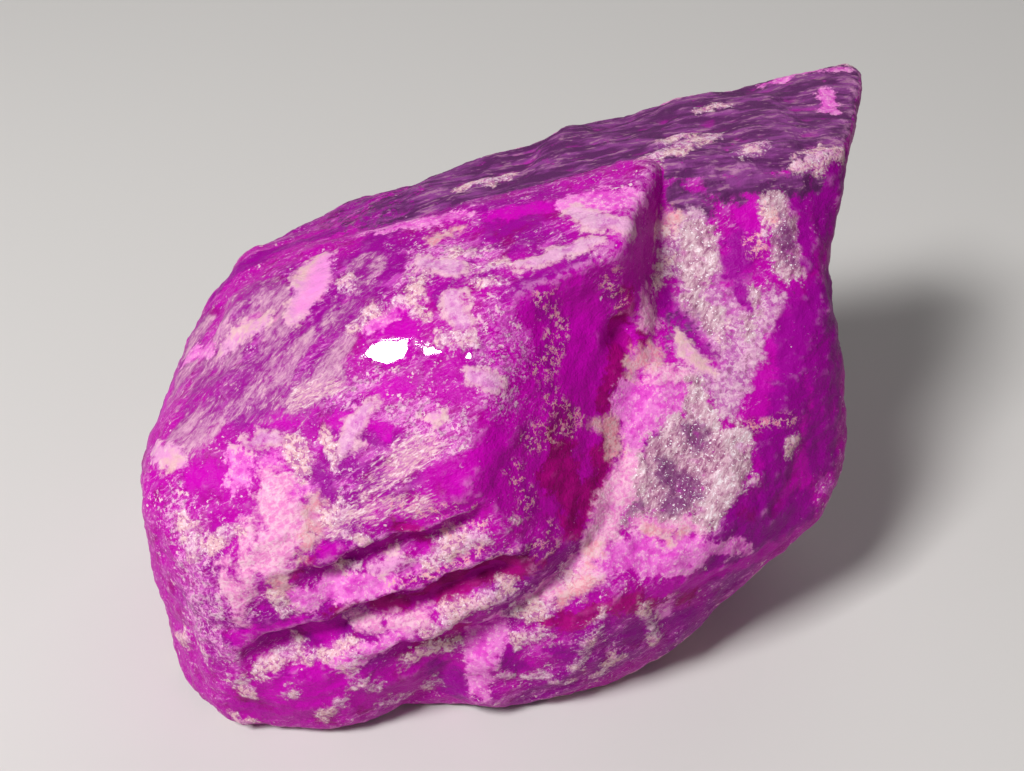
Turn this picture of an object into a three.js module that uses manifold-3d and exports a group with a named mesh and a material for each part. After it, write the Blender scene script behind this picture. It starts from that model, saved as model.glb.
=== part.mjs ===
// A sugilite nodule: one natural stone about 38 mm long, 28 mm deep and 24 mm high.
//
// The stone is written as a field, a function of a point that is negative inside the stone,
// zero on its surface and close to the distance in millimetres near it. Three lobes make it
// up, each the space behind a set of broken or worn faces: the body at the back and right,
// the horn that points up at the far right, and the boss, the large mass at the front left
// whose right side has broken away in a scarp. Ledges step across the foot of the boss, and
// swells and dents shape the rest. A net of facets is then laid over the surface, and the
// underside is cut to the small flat on which the stone rests.
//
// Millimetres, +Z up. The origin is the middle of the stone's outline, at the flat.

import * as THREE from "three";
import { mergeVertices } from "three/addons/utils/BufferGeometryUtils.js";
import Module from "manifold-3d";

// Driving dimensions
const FACET = 0.94; // spacing of the net of facets
const BODY_ROUNDING = 0.5; // how far a worn edge of the body or boss is rounded
const HORN_ROUNDING = 0.4; // the horn keeps a thinner edge
const SCARP_WALL_ROUNDING = 0.3;
const SCARP_ROUNDING = 0.35; // brink of the scarp
const HORN_FILLET = 1.4; // hollow where the horn runs into the body
const BOSS_FILLET = 0.3; // crease between boss and body
const SCARP_FILLET = 1.5; // hollow at the foot of the scarp's wall
const WAVE_LONG = 0.15; // height of the slow waves over every face
const WAVE_SHORT = 0.07;
const LEDGES_FADE = { from: -8, to: -4 }; // the ledges fade out between these y
const BED_SLOPE = 0.364; // rise of the ledges to the right, as a gradient
const BED_DIP = 0.25; // rise of the ledges towards the back
const BED_FRONT = -13.5; // y at which a ledge's level is given
const LIP_EDGE = 0.35; // thickness of a ledge's brink
const LEDGE_FADE = 2.5; // length over which a ledge starts and ends
const FLAT_CENTRE = { x: -3, y: -3.5 }; // the flat on which the stone rests
const FLAT_HALF_LENGTH = 12;
const FLAT_HALF_WIDTH = 9;
const UNDERSIDE_DROP = 0.3; // how far the domed underside would reach below the flat
const UNDERSIDE_ROUNDING = 0.4;
const CENTRE = new THREE.Vector3(0.36, 0.19, 0); // middle of the outline, in the faces' coordinates
const COLOURS = { magenta: 0xa8169e };

// Faces: a name, a point on the face and the direction it faces.
const BODY_FACES = [
  ["weathered top", [8.0, 0, 23.6], [-0.13, 0.085, 0.988]],
  ["top left", [-10, 4, 18.7], [-0.36, 0.22, 0.9]],
  ["valley band", [9, -7.6, 14.8], [-0.06, -0.8, 0.6]],
  ["sill band", [7, -11.6, 10.6], [-0.02, -0.66, 0.75]],
  ["right flank", [11.8, -6.4, 16.6], [0.58, -0.73, 0.36]],
  ["right end", [17.8, -4.8, 11.6], [0.97, 0.05, 0.24]],
  ["right end low", [15.6, -7.3, 5.9], [0.9, -0.14, -0.35]],
  ["under face", [9.5, -9.9, 6.6], [0.45, -0.86, -0.18]],
  ["keel", [9.8, -8.6, 2.7], [0.66, -0.1, -0.75]],
  ["right front foot", [2, -12, 0], [0.04, -0.92, -0.4]],
  ["left end", [-17, -1, 8.5], [-0.97, 0.05, 0.22]],
  ["left foot", [-17, -6, 2], [-0.8, -0.3, -0.52]],
  ["body front", [-2, -12.5, 6], [-0.1, -0.99, 0.05]],
  ["left shoulder", [-16.4, 4, 16.6], [-0.75, 0.41, 0.52]],
  ["back upper", [2, 11.2, 20], [-0.2, 0.95, 0.22]],
  ["back lower", [0, 11.5, 8], [0, 0.93, -0.36]],
  ["back left", [-13.7, 8.8, 10], [-0.68, 0.72, 0.1]],
  ["back right", [15, 8, 12], [0.65, 0.75, -0.1]],
];

const HORN_FACES = [
  ["horn top", [8.0, 0, 23.6], [-0.13, 0.085, 0.988]],
  ["horn front", [12, 1, 22], [-0.1, -0.86, 0.5]],
  ["horn front right", [15, 0.5, 20], [0.35, -0.85, 0.38]],
  ["horn right", [18.1, 8, 21], [0.96, -0.26, -0.09]],
  ["horn back", [14.9, 14.2, 23.9], [-0.21, 0.97, 0.1]],
  ["horn under", [17, 8, 17], [0.6, 0.45, -0.66]],
  ["horn left", [0.6, 6, 18], [-0.92, 0.35, 0.15]],
  ["horn base", [8, 3, 8], [0, 0, -1]],
];

const BOSS_FACES = [
  ["boss crown", [4, -3, 23.3], [-0.16, -0.1, 0.98]],
  ["boss crown left", [-3, -2, 22.2], [-0.32, -0.02, 0.95]],
  ["boss upper", [-5, -6.5, 20.2], [-0.25, -0.46, 0.85]],
  ["boss lower", [-5, -11.3, 16.4], [-0.2, -0.7, 0.69]],
  ["boss brow", [-1.5, -12.9, 13.2], [0.22, -0.97, 0.12]],
  ["boss front", [-7, -14.2, 11], [-0.06, -0.995, 0.06]],
  ["lower front", [-7, -14.4, 6], [0.03, -0.99, -0.08]],
  ["front foot", [-10.5, -14.4, 0], [-0.08, -0.82, -0.57]],
  ["front foot right", [-3, -12.7, 0], [0.18, -0.86, -0.48]],
  ["crease lower", [-0.1, -12.9, 8.5], [0.55, -0.7, -0.45]],
  ["crease foot", [-2.6, -12.9, 4], [0.7, -0.55, -0.45]],
  ["left front corner", [-16.5, -11.7, 5], [-0.74, -0.67, 0.03]],
  ["left end low", [-18.25, -6, 7], [-1, -0.02, 0]],
  ["boss left foot", [-18.6, -9.8, 1.2], [-0.76, -0.39, -0.5]],
  ["left end high", [-18.5, -3, 12.6], [-0.88, 0.02, 0.47]],
  ["boss left shoulder", [-15, -2, 16.4], [-0.62, -0.04, 0.78]],
  ["boss far shoulder", [-16.5, 4, 16.9], [-0.75, 0.41, 0.52]],
  ["boss back", [0, 3, 22.4], [-0.2, 0.75, 0.6]],
  ["boss back left", [-13.9, 8.9, 10], [-0.68, 0.72, 0.1]],
  ["boss inner", [0, 9.5, 5], [0, 1, 0]],
  ["boss right inner", [9, 0, 12], [0.9, 0.4, 0]],
];

const SCARP_WALL_FACES = [
  ["scarp wall", [3.2, -4.9, 21.7], [0.32, -0.95, -0.06]],
  ["knob side", [6.1, -2.2, 21.8], [0.9, -0.38, 0.22]],
];

const SCARP_SLOPE_FACES = [
  ["scarp upper slope", [-0.8, -9.3, 19.6], [0.4, -0.34, 0.85]],
  ["scarp slope", [-0.8, -9.3, 19.6], [0.62, -0.66, 0.43]],
];

// Ledges across the foot of the boss, from the top: the level of the brink at x = 0, its extra
// rise to the right, where it starts and ends, and the heights of the hollow under the brink
// and of the sloping tread below it.
const LEDGES = [
  { level: 15.5, rise: 0, from: -10.6, to: -0.5, hollow: 0.9, tread: 2.2, depth: 0.9 },
  { level: 12.5, rise: 0.05, from: -13.5, to: 1.5, hollow: 1.2, tread: 1.8, depth: 1.0 },
  { level: 8.9, rise: 0, from: -7.5, to: -1, hollow: 0.8, tread: 2.0, depth: 0.6 },
];

// Swells (height above 0) and dents (below 0): a name, the centre, the reach and the height.
const SWELLS = [
  ["left knob", [-18.2, -5, 10.6], 1.8, 0.35],
  ["left dip", [-16.2, -8, 11.6], 1.6, -0.45],
  ["shoulder lump", [-11.8, -11.9, 13], 2.4, 0.5],
  ["crest lump", [-11.5, -1.5, 18.3], 1.9, 0.35],
  ["pit at the foot of the wall", [5.3, -4.3, 18.4], 0.75, -1.1],
  ["band lump", [6.9, -6, 16.2], 1.5, 0.4],
  ["band hollow", [8.7, -8.6, 13.2], 1.5, -0.35],
  ["dent below the horn", [9.8, -2.6, 20.6], 2.4, -0.4],
  ["rib high", [-1.2, -12.6, 4.4], 1.3, 0.8],
  ["rib low", [-1.3, -12.3, 1.8], 1.2, 0.7],
  ["sill lump", [4.3, -11.6, 10], 1.5, 0.35],
  ["back hollow", [-1, 11.5, 13], 4.5, -0.9],
  ["back lump", [-6.5, 11, 8], 3.5, 0.9],
  ["back dent", [11, 12, 7.5], 3, -0.8],
  ["left back dent", [-15, 6.5, 8], 2.8, -0.7],
  ["top dent", [0, 7, 21.5], 3, -0.35],
  ["back edge dent", [5.5, 11.6, 22.3], 2.5, -0.5],
  ["notch below the horn", [17, 3.5, 18], 2.5, -0.45],
  ["flank foot lump", [15.7, -6.5, 8.8], 1.5, 0.3],
  ["far shoulder lump", [-15, 5, 16], 2, 0.5],
];

// ---- the field ----

function smoothStep(from, to, value) {
  const t = THREE.MathUtils.clamp((value - from) / (to - from), 0, 1);
  return t * t * (3 - 2 * t);
}

function softMax(values, rounding) {
  const top = Math.max(...values);
  const sum = values.reduce((total, value) => total + Math.exp((value - top) / rounding), 0);
  return top + rounding * Math.log(sum);
}

function softMin(a, b, fillet) {
  const h = THREE.MathUtils.clamp(0.5 + (0.5 * (b - a)) / fillet, 0, 1);
  return b * (1 - h) + a * h - fillet * h * (1 - h);
}

function makeLobe(faces, rounding) {
  const planes = faces.map(([, point, facing]) => {
    const normal = new THREE.Vector3(...facing).normalize();
    return new THREE.Plane().setFromNormalAndCoplanarPoint(normal, new THREE.Vector3(...point));
  });
  return (p) => softMax(planes.map((plane) => plane.distanceToPoint(p)), rounding);
}

const body = makeLobe(BODY_FACES, BODY_ROUNDING);
const horn = makeLobe(HORN_FACES, HORN_ROUNDING);
const boss = makeLobe(BOSS_FACES, BODY_ROUNDING);
const scarpWall = makeLobe(SCARP_WALL_FACES, SCARP_WALL_ROUNDING);
const scarpSlope = makeLobe(SCARP_SLOPE_FACES, BODY_ROUNDING);

// Slow waves, so that no face is quite flat.
function waved({ x, y, z }) {
  return new THREE.Vector3(
    x + WAVE_LONG * Math.sin(0.31 * y + 0.23 * z + 1) + WAVE_SHORT * Math.sin(0.83 * z - 0.57 * y + 2),
    y + WAVE_LONG * Math.sin(0.27 * z + 0.33 * x + 4) + WAVE_SHORT * Math.sin(0.71 * x + 0.62 * z + 0.5),
    z + WAVE_LONG * Math.sin(0.29 * x - 0.25 * y + 2.5) + WAVE_SHORT * Math.sin(0.77 * y + 0.66 * x + 3.5),
  );
}

// How far the ledges are set back at a point: a sharp brink, a hollow and a tread sloping out.
function ledgeDepth({ x, y, z }) {
  const ripple = 0.18 * Math.sin(1.3 * x + 0.4) + 0.1 * Math.sin(2.9 * x + 1);
  const height = z - BED_SLOPE * x + BED_DIP * (y - BED_FRONT) + ripple;
  const onFront = 1 - smoothStep(LEDGES_FADE.from, LEDGES_FADE.to, y);
  const depths = LEDGES.map((ledge) => {
    const below = ledge.level + ledge.rise * x - height;
    const tread = 1 - THREE.MathUtils.clamp((below - ledge.hollow) / ledge.tread, 0, 1);
    const start = smoothStep(ledge.from, ledge.from + LEDGE_FADE, x);
    const end = 1 - smoothStep(ledge.to - LEDGE_FADE, ledge.to, x);
    return ledge.depth * smoothStep(0, LIP_EDGE, below) * tread * start * end;
  });
  return onFront * Math.max(...depths);
}

const swellCentres = SWELLS.map(([, centre, reach, height]) => {
  return { centre: new THREE.Vector3(...centre), reach, height };
});

function swellHeight(p) {
  return swellCentres.reduce((total, { centre, reach, height }) => {
    return total + height * Math.exp(-p.distanceToSquared(centre) / (reach * reach));
  }, 0);
}

// The underside is a shallow dome, which the cut for the flat meets in an oval.
function undersideLevel({ x, y }) {
  const along = (x - FLAT_CENTRE.x) / FLAT_HALF_LENGTH;
  const across = (y - FLAT_CENTRE.y) / FLAT_HALF_WIDTH;
  return UNDERSIDE_DROP * (along * along + across * across - 1);
}

function field(p) {
  const q = waved(p);
  const scarp = softMin(scarpWall(q), scarpSlope(q), SCARP_FILLET);
  const brokenBoss = softMax([boss(q), scarp], SCARP_ROUNDING) + ledgeDepth(p);
  const backAndHorn = softMin(body(q), horn(q), HORN_FILLET);
  const stone = softMin(backAndHorn, brokenBoss, BOSS_FILLET) - swellHeight(p);
  return softMax([stone, undersideLevel(p) - p.z], UNDERSIDE_ROUNDING);
}

function slopeOf(p) {
  const step = 0.05 * FACET;
  const slope = new THREE.Vector3();
  for (const axis of ["x", "y", "z"]) {
    const ahead = p.clone();
    const behind = p.clone();
    ahead[axis] += step;
    behind[axis] -= step;
    slope[axis] = (field(ahead) - field(behind)) / (2 * step);
  }
  return slope;
}

// Moves a point onto the surface, by a few short steps along the slope of the field.
function settle(p) {
  const steps = 4;
  const longest = 0.3 * FACET;
  const gentlest = 0.2; // keeps a step short where the field is nearly level
  for (let i = 0; i < steps; i += 1) {
    const slope = slopeOf(p);
    const stride = field(p) / Math.max(slope.lengthSq(), gentlest);
    p.addScaledVector(slope, -THREE.MathUtils.clamp(stride, -longest, longest));
  }
  return p;
}

// ---- the net of facets ----

// A box that holds the whole surface
const BOX_LOW = new THREE.Vector3(-21, -17, -3.5);
const BOX_HIGH = new THREE.Vector3(22, 17, 27);

// A net with one knot in every cell of a grid that the surface crosses, and one four-sided mesh
// of the net across every grid edge that the surface crosses.
function netOver(surface, shift) {
  const low = BOX_LOW.clone().addScalar(shift);
  const counts = BOX_HIGH.clone().sub(low).divideScalar(FACET).ceil();
  const size = [counts.x + 1, counts.y + 1, counts.z + 1];
  const stride = [1, size[0], size[0] * size[1]];
  const at = (i, j, k) => i + stride[1] * j + stride[2] * k;
  const corner = (i, j, k) => new THREE.Vector3(i, j, k).multiplyScalar(FACET).add(low);

  const value = new Float64Array(size[0] * size[1] * size[2]);
  for (let k = 0; k < size[2]; k += 1) {
    for (let j = 0; j < size[1]; j += 1) {
      for (let i = 0; i < size[0]; i += 1) {
        value[at(i, j, k)] = surface(corner(i, j, k));
      }
    }
  }

  const knots = [];
  const knotOf = new Map();
  for (let k = 0; k < size[2] - 1; k += 1) {
    for (let j = 0; j < size[1] - 1; j += 1) {
      for (let i = 0; i < size[0] - 1; i += 1) {
        const knot = meanCrossing([i, j, k], at, corner, value);
        if (knot) {
          knotOf.set(at(i, j, k), knots.length);
          knots.push(knot);
        }
      }
    }
  }

  const meshes = [];
  for (let k = 1; k < size[2] - 1; k += 1) {
    for (let j = 1; j < size[1] - 1; j += 1) {
      for (let i = 1; i < size[0] - 1; i += 1) {
        const here = at(i, j, k);
        for (let axis = 0; axis < 3; axis += 1) {
          const inside = value[here] < 0;
          if (inside === value[here + stride[axis]] < 0) continue;
          const u = stride[(axis + 1) % 3];
          const v = stride[(axis + 2) % 3];
          const ring = [here - u - v, here - v, here, here - u].map((cell) => knotOf.get(cell));
          meshes.push(inside ? ring : ring.reverse());
        }
      }
    }
  }
  return { knots, meshes };
}

// True where every line of the net is shared by exactly two of its meshes.
function isSound({ meshes }) {
  const uses = new Map();
  for (const ring of meshes) {
    ring.forEach((knot, n) => {
      const ends = [knot, ring[(n + 1) % 4]].sort((a, b) => a - b).join();
      uses.set(ends, (uses.get(ends) ?? 0) + 1);
    });
  }
  return [...uses.values()].every((count) => count === 2);
}

// Where two sheets of the surface pinch together in one cell, a slightly shifted grid parts them.
function soundNetOver(surface) {
  for (let shift = 0; shift < FACET; shift += 0.07 * FACET) {
    const net = netOver(surface, shift);
    if (isSound(net)) return net;
  }
  throw new Error("no grid gives a sound net");
}

const CELL_EDGES = [];
for (let a = 0; a < 8; a += 1) {
  for (const bit of [1, 2, 4]) {
    if (!(a & bit)) CELL_EDGES.push([a, a | bit]);
  }
}

// The mean of the points where the surface crosses a cell's edges, or null where it doesn't.
function meanCrossing([i, j, k], at, corner, value) {
  const mean = new THREE.Vector3();
  let crossings = 0;
  for (const [a, b] of CELL_EDGES) {
    const ends = [a, b].map((c) => [i + (c & 1), j + ((c >> 1) & 1), k + ((c >> 2) & 1)]);
    const [valueA, valueB] = ends.map((c) => value[at(...c)]);
    if (valueA < 0 === valueB < 0) continue;
    const share = valueA / (valueA - valueB);
    mean.add(corner(...ends[0]).lerp(corner(...ends[1]), share));
    crossings += 1;
  }
  return crossings ? mean.divideScalar(crossings) : null;
}

// Evens out the net and lays it back on the surface. Knots at the level of the flat are sunk
// below it, so that the cut leaves no slivers.
function relax({ knots, meshes }) {
  const rounds = 3;
  const sunk = 0.25 * FACET;
  const neighbours = knots.map(() => new Set());
  for (const ring of meshes) {
    ring.forEach((knot, n) => {
      const next = ring[(n + 1) % 4];
      neighbours[knot].add(next);
      neighbours[next].add(knot);
    });
  }
  for (let round = 0; round < rounds; round += 1) {
    const evened = knots.map((knot, n) => {
      const mean = new THREE.Vector3();
      neighbours[n].forEach((other) => mean.add(knots[other]));
      mean.divideScalar(neighbours[n].size);
      return knot.clone().lerp(mean, 0.5);
    });
    evened.forEach((knot, n) => knots[n].copy(settle(knot)));
  }
  for (const knot of knots) {
    if (Math.abs(knot.z) < sunk) knot.z = -sunk;
  }
}

// Two triangles for each mesh of the net, parted along the diagonal closer to the surface.
function netGeometry({ knots, meshes }) {
  const gap = (a, b) => Math.abs(field(knots[a].clone().lerp(knots[b], 0.5)));
  const index = meshes.flatMap(([a, b, c, d]) => {
    return gap(a, c) < gap(b, d) ? [a, b, c, a, c, d] : [a, b, d, b, c, d];
  });
  const positions = knots.flatMap((knot) => knot.toArray());
  const geometry = new THREE.BufferGeometry();
  geometry.setAttribute("position", new THREE.Float32BufferAttribute(positions, 3));
  geometry.setIndex(index);
  return geometry;
}

// ---- the cut for the flat ----

const wasm = await Module();
wasm.setup();

function toSolid(geometry) {
  const bare = geometry.clone();
  bare.deleteAttribute("normal");
  bare.deleteAttribute("uv");
  const merged = mergeVertices(bare);
  return new wasm.Manifold(new wasm.Mesh({
    numProp: 3,
    vertProperties: new Float32Array(merged.attributes.position.array),
    triVerts: new Uint32Array(merged.index.array),
  }));
}

function toGeometry(solid) {
  const mesh = solid.getMesh();
  const geometry = new THREE.BufferGeometry();
  geometry.setAttribute("position", new THREE.BufferAttribute(mesh.vertProperties, 3));
  geometry.setIndex(new THREE.BufferAttribute(mesh.triVerts, 1));
  return geometry;
}

// Takes away all that is below the ground.
function cutFlat(geometry) {
  const span = BOX_HIGH.clone().sub(BOX_LOW).length();
  const below = new THREE.BoxGeometry(span, span, span).translate(0, 0, -span / 2);
  return toGeometry(toSolid(geometry).subtract(toSolid(below)));
}

// ---- the stone ----

function sugiliteMaterial() {
  return new THREE.MeshStandardMaterial({ color: COLOURS.magenta, roughness: 0.4, metalness: 0 });
}

function makeNodule() {
  const net = soundNetOver(field);
  relax(net);
  const geometry = cutFlat(netGeometry(net)).translate(-CENTRE.x, -CENTRE.y, -CENTRE.z);
  geometry.computeVertexNormals();
  const nodule = new THREE.Mesh(geometry, sugiliteMaterial());
  nodule.name = "sugilite_nodule";
  return nodule;
}

const stone = new THREE.Group();
stone.add(makeNodule());

export default stone;
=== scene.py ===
"""The look of a sugilite nodule: one fine mesh in place of the plain solid, a procedural stone
material, a pale floor and soft studio light.

The stone's form is a field, as in the CAD source: a function of a point that is negative
inside the stone. Here its ledges are crisper, a fine net is laid over it, and a low relief is
added. Patches of colour are painted on the net's points as masks, and the material breaks up
their edges with noise. Form and masks are in millimetres, in the coordinates of the faces;
the finished mesh is in metres, in the frame's coordinates.
"""

import itertools
import math

import bpy
import numpy as np
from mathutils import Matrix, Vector, noise


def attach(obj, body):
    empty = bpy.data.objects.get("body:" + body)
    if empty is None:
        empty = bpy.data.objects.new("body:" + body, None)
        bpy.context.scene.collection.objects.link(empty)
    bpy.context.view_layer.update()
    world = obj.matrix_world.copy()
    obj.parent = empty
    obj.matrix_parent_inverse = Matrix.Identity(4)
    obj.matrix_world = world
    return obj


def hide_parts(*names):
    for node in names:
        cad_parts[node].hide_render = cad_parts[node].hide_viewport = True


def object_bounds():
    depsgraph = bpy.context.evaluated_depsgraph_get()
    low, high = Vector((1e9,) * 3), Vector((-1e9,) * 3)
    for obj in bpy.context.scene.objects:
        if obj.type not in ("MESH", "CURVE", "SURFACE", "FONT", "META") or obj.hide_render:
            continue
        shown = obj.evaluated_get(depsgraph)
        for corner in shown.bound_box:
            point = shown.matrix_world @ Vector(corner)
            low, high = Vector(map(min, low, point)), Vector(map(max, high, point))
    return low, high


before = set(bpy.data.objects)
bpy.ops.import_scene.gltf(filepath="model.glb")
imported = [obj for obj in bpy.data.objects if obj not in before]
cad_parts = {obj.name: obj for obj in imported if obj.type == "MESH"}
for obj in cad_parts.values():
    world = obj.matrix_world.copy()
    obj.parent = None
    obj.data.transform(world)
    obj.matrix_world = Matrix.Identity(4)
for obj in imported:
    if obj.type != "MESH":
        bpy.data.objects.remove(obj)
CAD_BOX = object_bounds()

MM = 0.001
CENTRE = np.array([0.36, 0.19, 0])  # middle of the outline, in the faces' coordinates
NET = 0.218  # spacing of the fine net
COARSE = 4  # cells of the fine net in one cell of the coarse search

# ---- the faces that bound the stone: a point on each and the direction it faces ----

BODY_FACES = {
    "weathered top": ((8.0, 0, 23.6), (-0.13, 0.085, 0.988)),
    "top left": ((-10, 4, 18.7), (-0.36, 0.22, 0.9)),
    "valley band": ((9, -7.6, 14.8), (-0.06, -0.8, 0.6)),
    "sill band": ((7, -11.6, 10.6), (-0.02, -0.66, 0.75)),
    "right flank": ((11.8, -6.4, 16.6), (0.58, -0.73, 0.36)),
    "right end": ((17.8, -4.8, 11.6), (0.97, 0.05, 0.24)),
    "right end low": ((15.6, -7.3, 5.9), (0.9, -0.14, -0.35)),
    "under face": ((9.5, -9.9, 6.6), (0.45, -0.86, -0.18)),
    "keel": ((9.8, -8.6, 2.7), (0.66, -0.1, -0.75)),
    "right front foot": ((2, -12, 0), (0.04, -0.92, -0.4)),
    "left end": ((-17, -1, 8.5), (-0.97, 0.05, 0.22)),
    "left foot": ((-17, -6, 2), (-0.8, -0.3, -0.52)),
    "body front": ((-2, -12.5, 6), (-0.1, -0.99, 0.05)),
    "left shoulder": ((-16.4, 4, 16.6), (-0.75, 0.41, 0.52)),
    "back upper": ((2, 11.2, 20), (-0.2, 0.95, 0.22)),
    "back lower": ((0, 11.5, 8), (0, 0.93, -0.36)),
    "back left": ((-13.7, 8.8, 10), (-0.68, 0.72, 0.1)),
    "back right": ((15, 8, 12), (0.65, 0.75, -0.1)),
}
HORN_FACES = {
    "horn top": ((8.0, 0, 23.6), (-0.13, 0.085, 0.988)),
    "horn front": ((12, 1, 22), (-0.1, -0.86, 0.5)),
    "horn front right": ((15, 0.5, 20), (0.35, -0.85, 0.38)),
    "horn right": ((18.1, 8, 21), (0.96, -0.26, -0.09)),
    "horn back": ((14.9, 14.2, 23.9), (-0.21, 0.97, 0.1)),
    "horn under": ((17, 8, 17), (0.6, 0.45, -0.66)),
    "horn left": ((0.6, 6, 18), (-0.92, 0.35, 0.15)),
    "horn base": ((8, 3, 8), (0, 0, -1)),
}
BOSS_FACES = {
    "boss crown": ((4, -3, 23.3), (-0.16, -0.1, 0.98)),
    "boss crown left": ((-3, -2, 22.2), (-0.32, -0.02, 0.95)),
    "boss upper": ((-5, -6.5, 20.2), (-0.25, -0.46, 0.85)),
    "boss lower": ((-5, -11.3, 16.4), (-0.2, -0.7, 0.69)),
    "boss brow": ((-1.5, -12.9, 13.2), (0.22, -0.97, 0.12)),
    "boss front": ((-7, -14.2, 11), (-0.06, -0.995, 0.06)),
    "lower front": ((-7, -14.4, 6), (0.03, -0.99, -0.08)),
    "front foot": ((-10.5, -14.4, 0), (-0.08, -0.82, -0.57)),
    "front foot right": ((-3, -12.7, 0), (0.18, -0.86, -0.48)),
    "crease lower": ((-0.1, -12.9, 8.5), (0.55, -0.7, -0.45)),
    "crease foot": ((-2.6, -12.9, 4), (0.7, -0.55, -0.45)),
    "left front corner": ((-16.5, -11.7, 5), (-0.74, -0.67, 0.03)),
    "left end low": ((-18.25, -6, 7), (-1, -0.02, 0)),
    "boss left foot": ((-18.6, -9.8, 1.2), (-0.76, -0.39, -0.5)),
    "left end high": ((-18.5, -3, 12.6), (-0.88, 0.02, 0.47)),
    "boss left shoulder": ((-15, -2, 16.4), (-0.62, -0.04, 0.78)),
    "boss far shoulder": ((-16.5, 4, 16.9), (-0.75, 0.41, 0.52)),
    "boss back": ((0, 3, 22.4), (-0.2, 0.75, 0.6)),
    "boss back left": ((-13.9, 8.9, 10), (-0.68, 0.72, 0.1)),
    "boss inner": ((0, 9.5, 5), (0, 1, 0)),
    "boss right inner": ((9, 0, 12), (0.9, 0.4, 0)),
}
SCARP_WALL_FACES = {
    "scarp wall": ((3.2, -4.9, 21.7), (0.32, -0.95, -0.06)),
    "knob side": ((6.1, -2.2, 21.8), (0.9, -0.38, 0.22)),
}
SCARP_SLOPE_FACES = {
    "scarp upper slope": ((-0.8, -9.3, 19.6), (0.4, -0.34, 0.85)),
    "scarp slope": ((-0.8, -9.3, 19.6), (0.62, -0.66, 0.43)),
}

# How far the corners between faces are rounded, and how far two lobes blend where they meet.
BODY_ROUNDING = 0.5
HORN_ROUNDING = 0.4
SCARP_WALL_ROUNDING = 0.3
SCARP_ROUNDING = 0.25
HORN_FILLET = 1.4
BOSS_FILLET = 0.3
SCARP_FILLET = 1.5
WAVE_LONG = 0.15  # height of the long waves
WAVE_SHORT = 0.07  # height of the short waves

# Ledges across the foot of the boss: the level of the brink at x = 0, its extra rise to the
# right, where it starts and ends, the heights of the hollow under the brink and of the sloping
# tread below it, and its depth.
LEDGES = [
    dict(level=15.5, rise=0.0, start=-10.6, end=-0.5, hollow=0.9, tread=2.2, depth=0.9),
    dict(level=12.5, rise=0.05, start=-13.5, end=1.5, hollow=1.2, tread=1.8, depth=1.0),
    dict(level=8.9, rise=0.0, start=-7.5, end=-1.0, hollow=0.8, tread=2.0, depth=0.6),
]
BED_SLOPE = 0.364  # rise of the ledges to the right
BED_DIP = 0.25  # how much they dip towards the back
BED_FRONT = -13.5  # where their levels are measured
LIP_EDGE = 0.22  # height over which a brink turns in
LEDGE_FADE = 2.5  # length over which a ledge starts and ends
LEDGES_FADE = (-8, -4)  # where the ledges die out towards the back

# Swells and dents: the centre, the reach and the height.
SWELLS = {
    "left knob": ((-18.2, -5, 10.6), 1.8, 0.35),
    "left dip": ((-16.2, -8, 11.6), 1.6, -0.45),
    "shoulder lump": ((-11.8, -11.9, 13), 2.4, 0.5),
    "crest lump": ((-11.5, -1.5, 18.3), 1.9, 0.35),
    "pit at the foot of the wall": ((5.3, -4.3, 18.4), 0.75, -1.1),
    "band lump": ((6.9, -6, 16.2), 1.5, 0.4),
    "band hollow": ((8.7, -8.6, 13.2), 1.5, -0.35),
    "dent below the horn": ((9.8, -2.6, 20.6), 2.4, -0.4),
    "rib high": ((-1.2, -12.6, 4.4), 1.3, 0.8),
    "rib low": ((-1.3, -12.3, 1.8), 1.2, 0.7),
    "sill lump": ((4.3, -11.6, 10), 1.5, 0.35),
    "back hollow": ((-1, 11.5, 13), 4.5, -0.9),
    "back lump": ((-6.5, 11, 8), 3.5, 0.9),
    "back dent": ((11, 12, 7.5), 3, -0.8),
    "left back dent": ((-15, 6.5, 8), 2.8, -0.7),
    "top dent": ((0, 7, 21.5), 3, -0.35),
    "back edge dent": ((5.5, 11.6, 22.3), 2.5, -0.5),
    "notch below the horn": ((17, 3.5, 18), 2.5, -0.45),
    "flank foot lump": ((15.7, -6.5, 8.8), 1.5, 0.3),
    "far shoulder lump": ((-15, 5, 16), 2, 0.5),
}

# The underside is a shallow dome, cut by the level that the stone rests on.
FLAT_CENTRE = (-3, -3.5)
FLAT_HALF = (12, 9)
UNDERSIDE_DROP = 0.3
UNDERSIDE_ROUNDING = 0.4


# ---- the field ----


def smooth_step(low, high, value):
    """0 at low, 1 at high and smooth between."""
    t = np.clip((value - low) / (high - low), 0, 1)
    return t * t * (3 - 2 * t)


def soft_max(values, rounding):
    """The largest of each row, with the corner between near-equal values rounded."""
    top = values.max(axis=1)
    return top + rounding * np.log(np.exp((values - top[:, None]) / rounding).sum(axis=1))


def soft_min(a, b, fillet):
    """The smaller of two fields, blended over a fillet."""
    h = np.clip(0.5 + 0.5 * (b - a) / fillet, 0, 1)
    return b * (1 - h) + a * h - fillet * h * (1 - h)


def make_lobe(faces, rounding):
    """The distance outside the space behind a set of faces, as a function of points."""
    points = np.array([point for point, _ in faces.values()], float)
    normals = np.array([facing for _, facing in faces.values()], float)
    normals /= np.linalg.norm(normals, axis=1, keepdims=True)
    offsets = (points * normals).sum(axis=1)
    return lambda p: soft_max(p @ normals.T - offsets, rounding)


body = make_lobe(BODY_FACES, BODY_ROUNDING)
horn = make_lobe(HORN_FACES, HORN_ROUNDING)
boss = make_lobe(BOSS_FACES, BODY_ROUNDING)
scarp_wall = make_lobe(SCARP_WALL_FACES, SCARP_WALL_ROUNDING)
scarp_slope = make_lobe(SCARP_SLOPE_FACES, BODY_ROUNDING)


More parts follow.
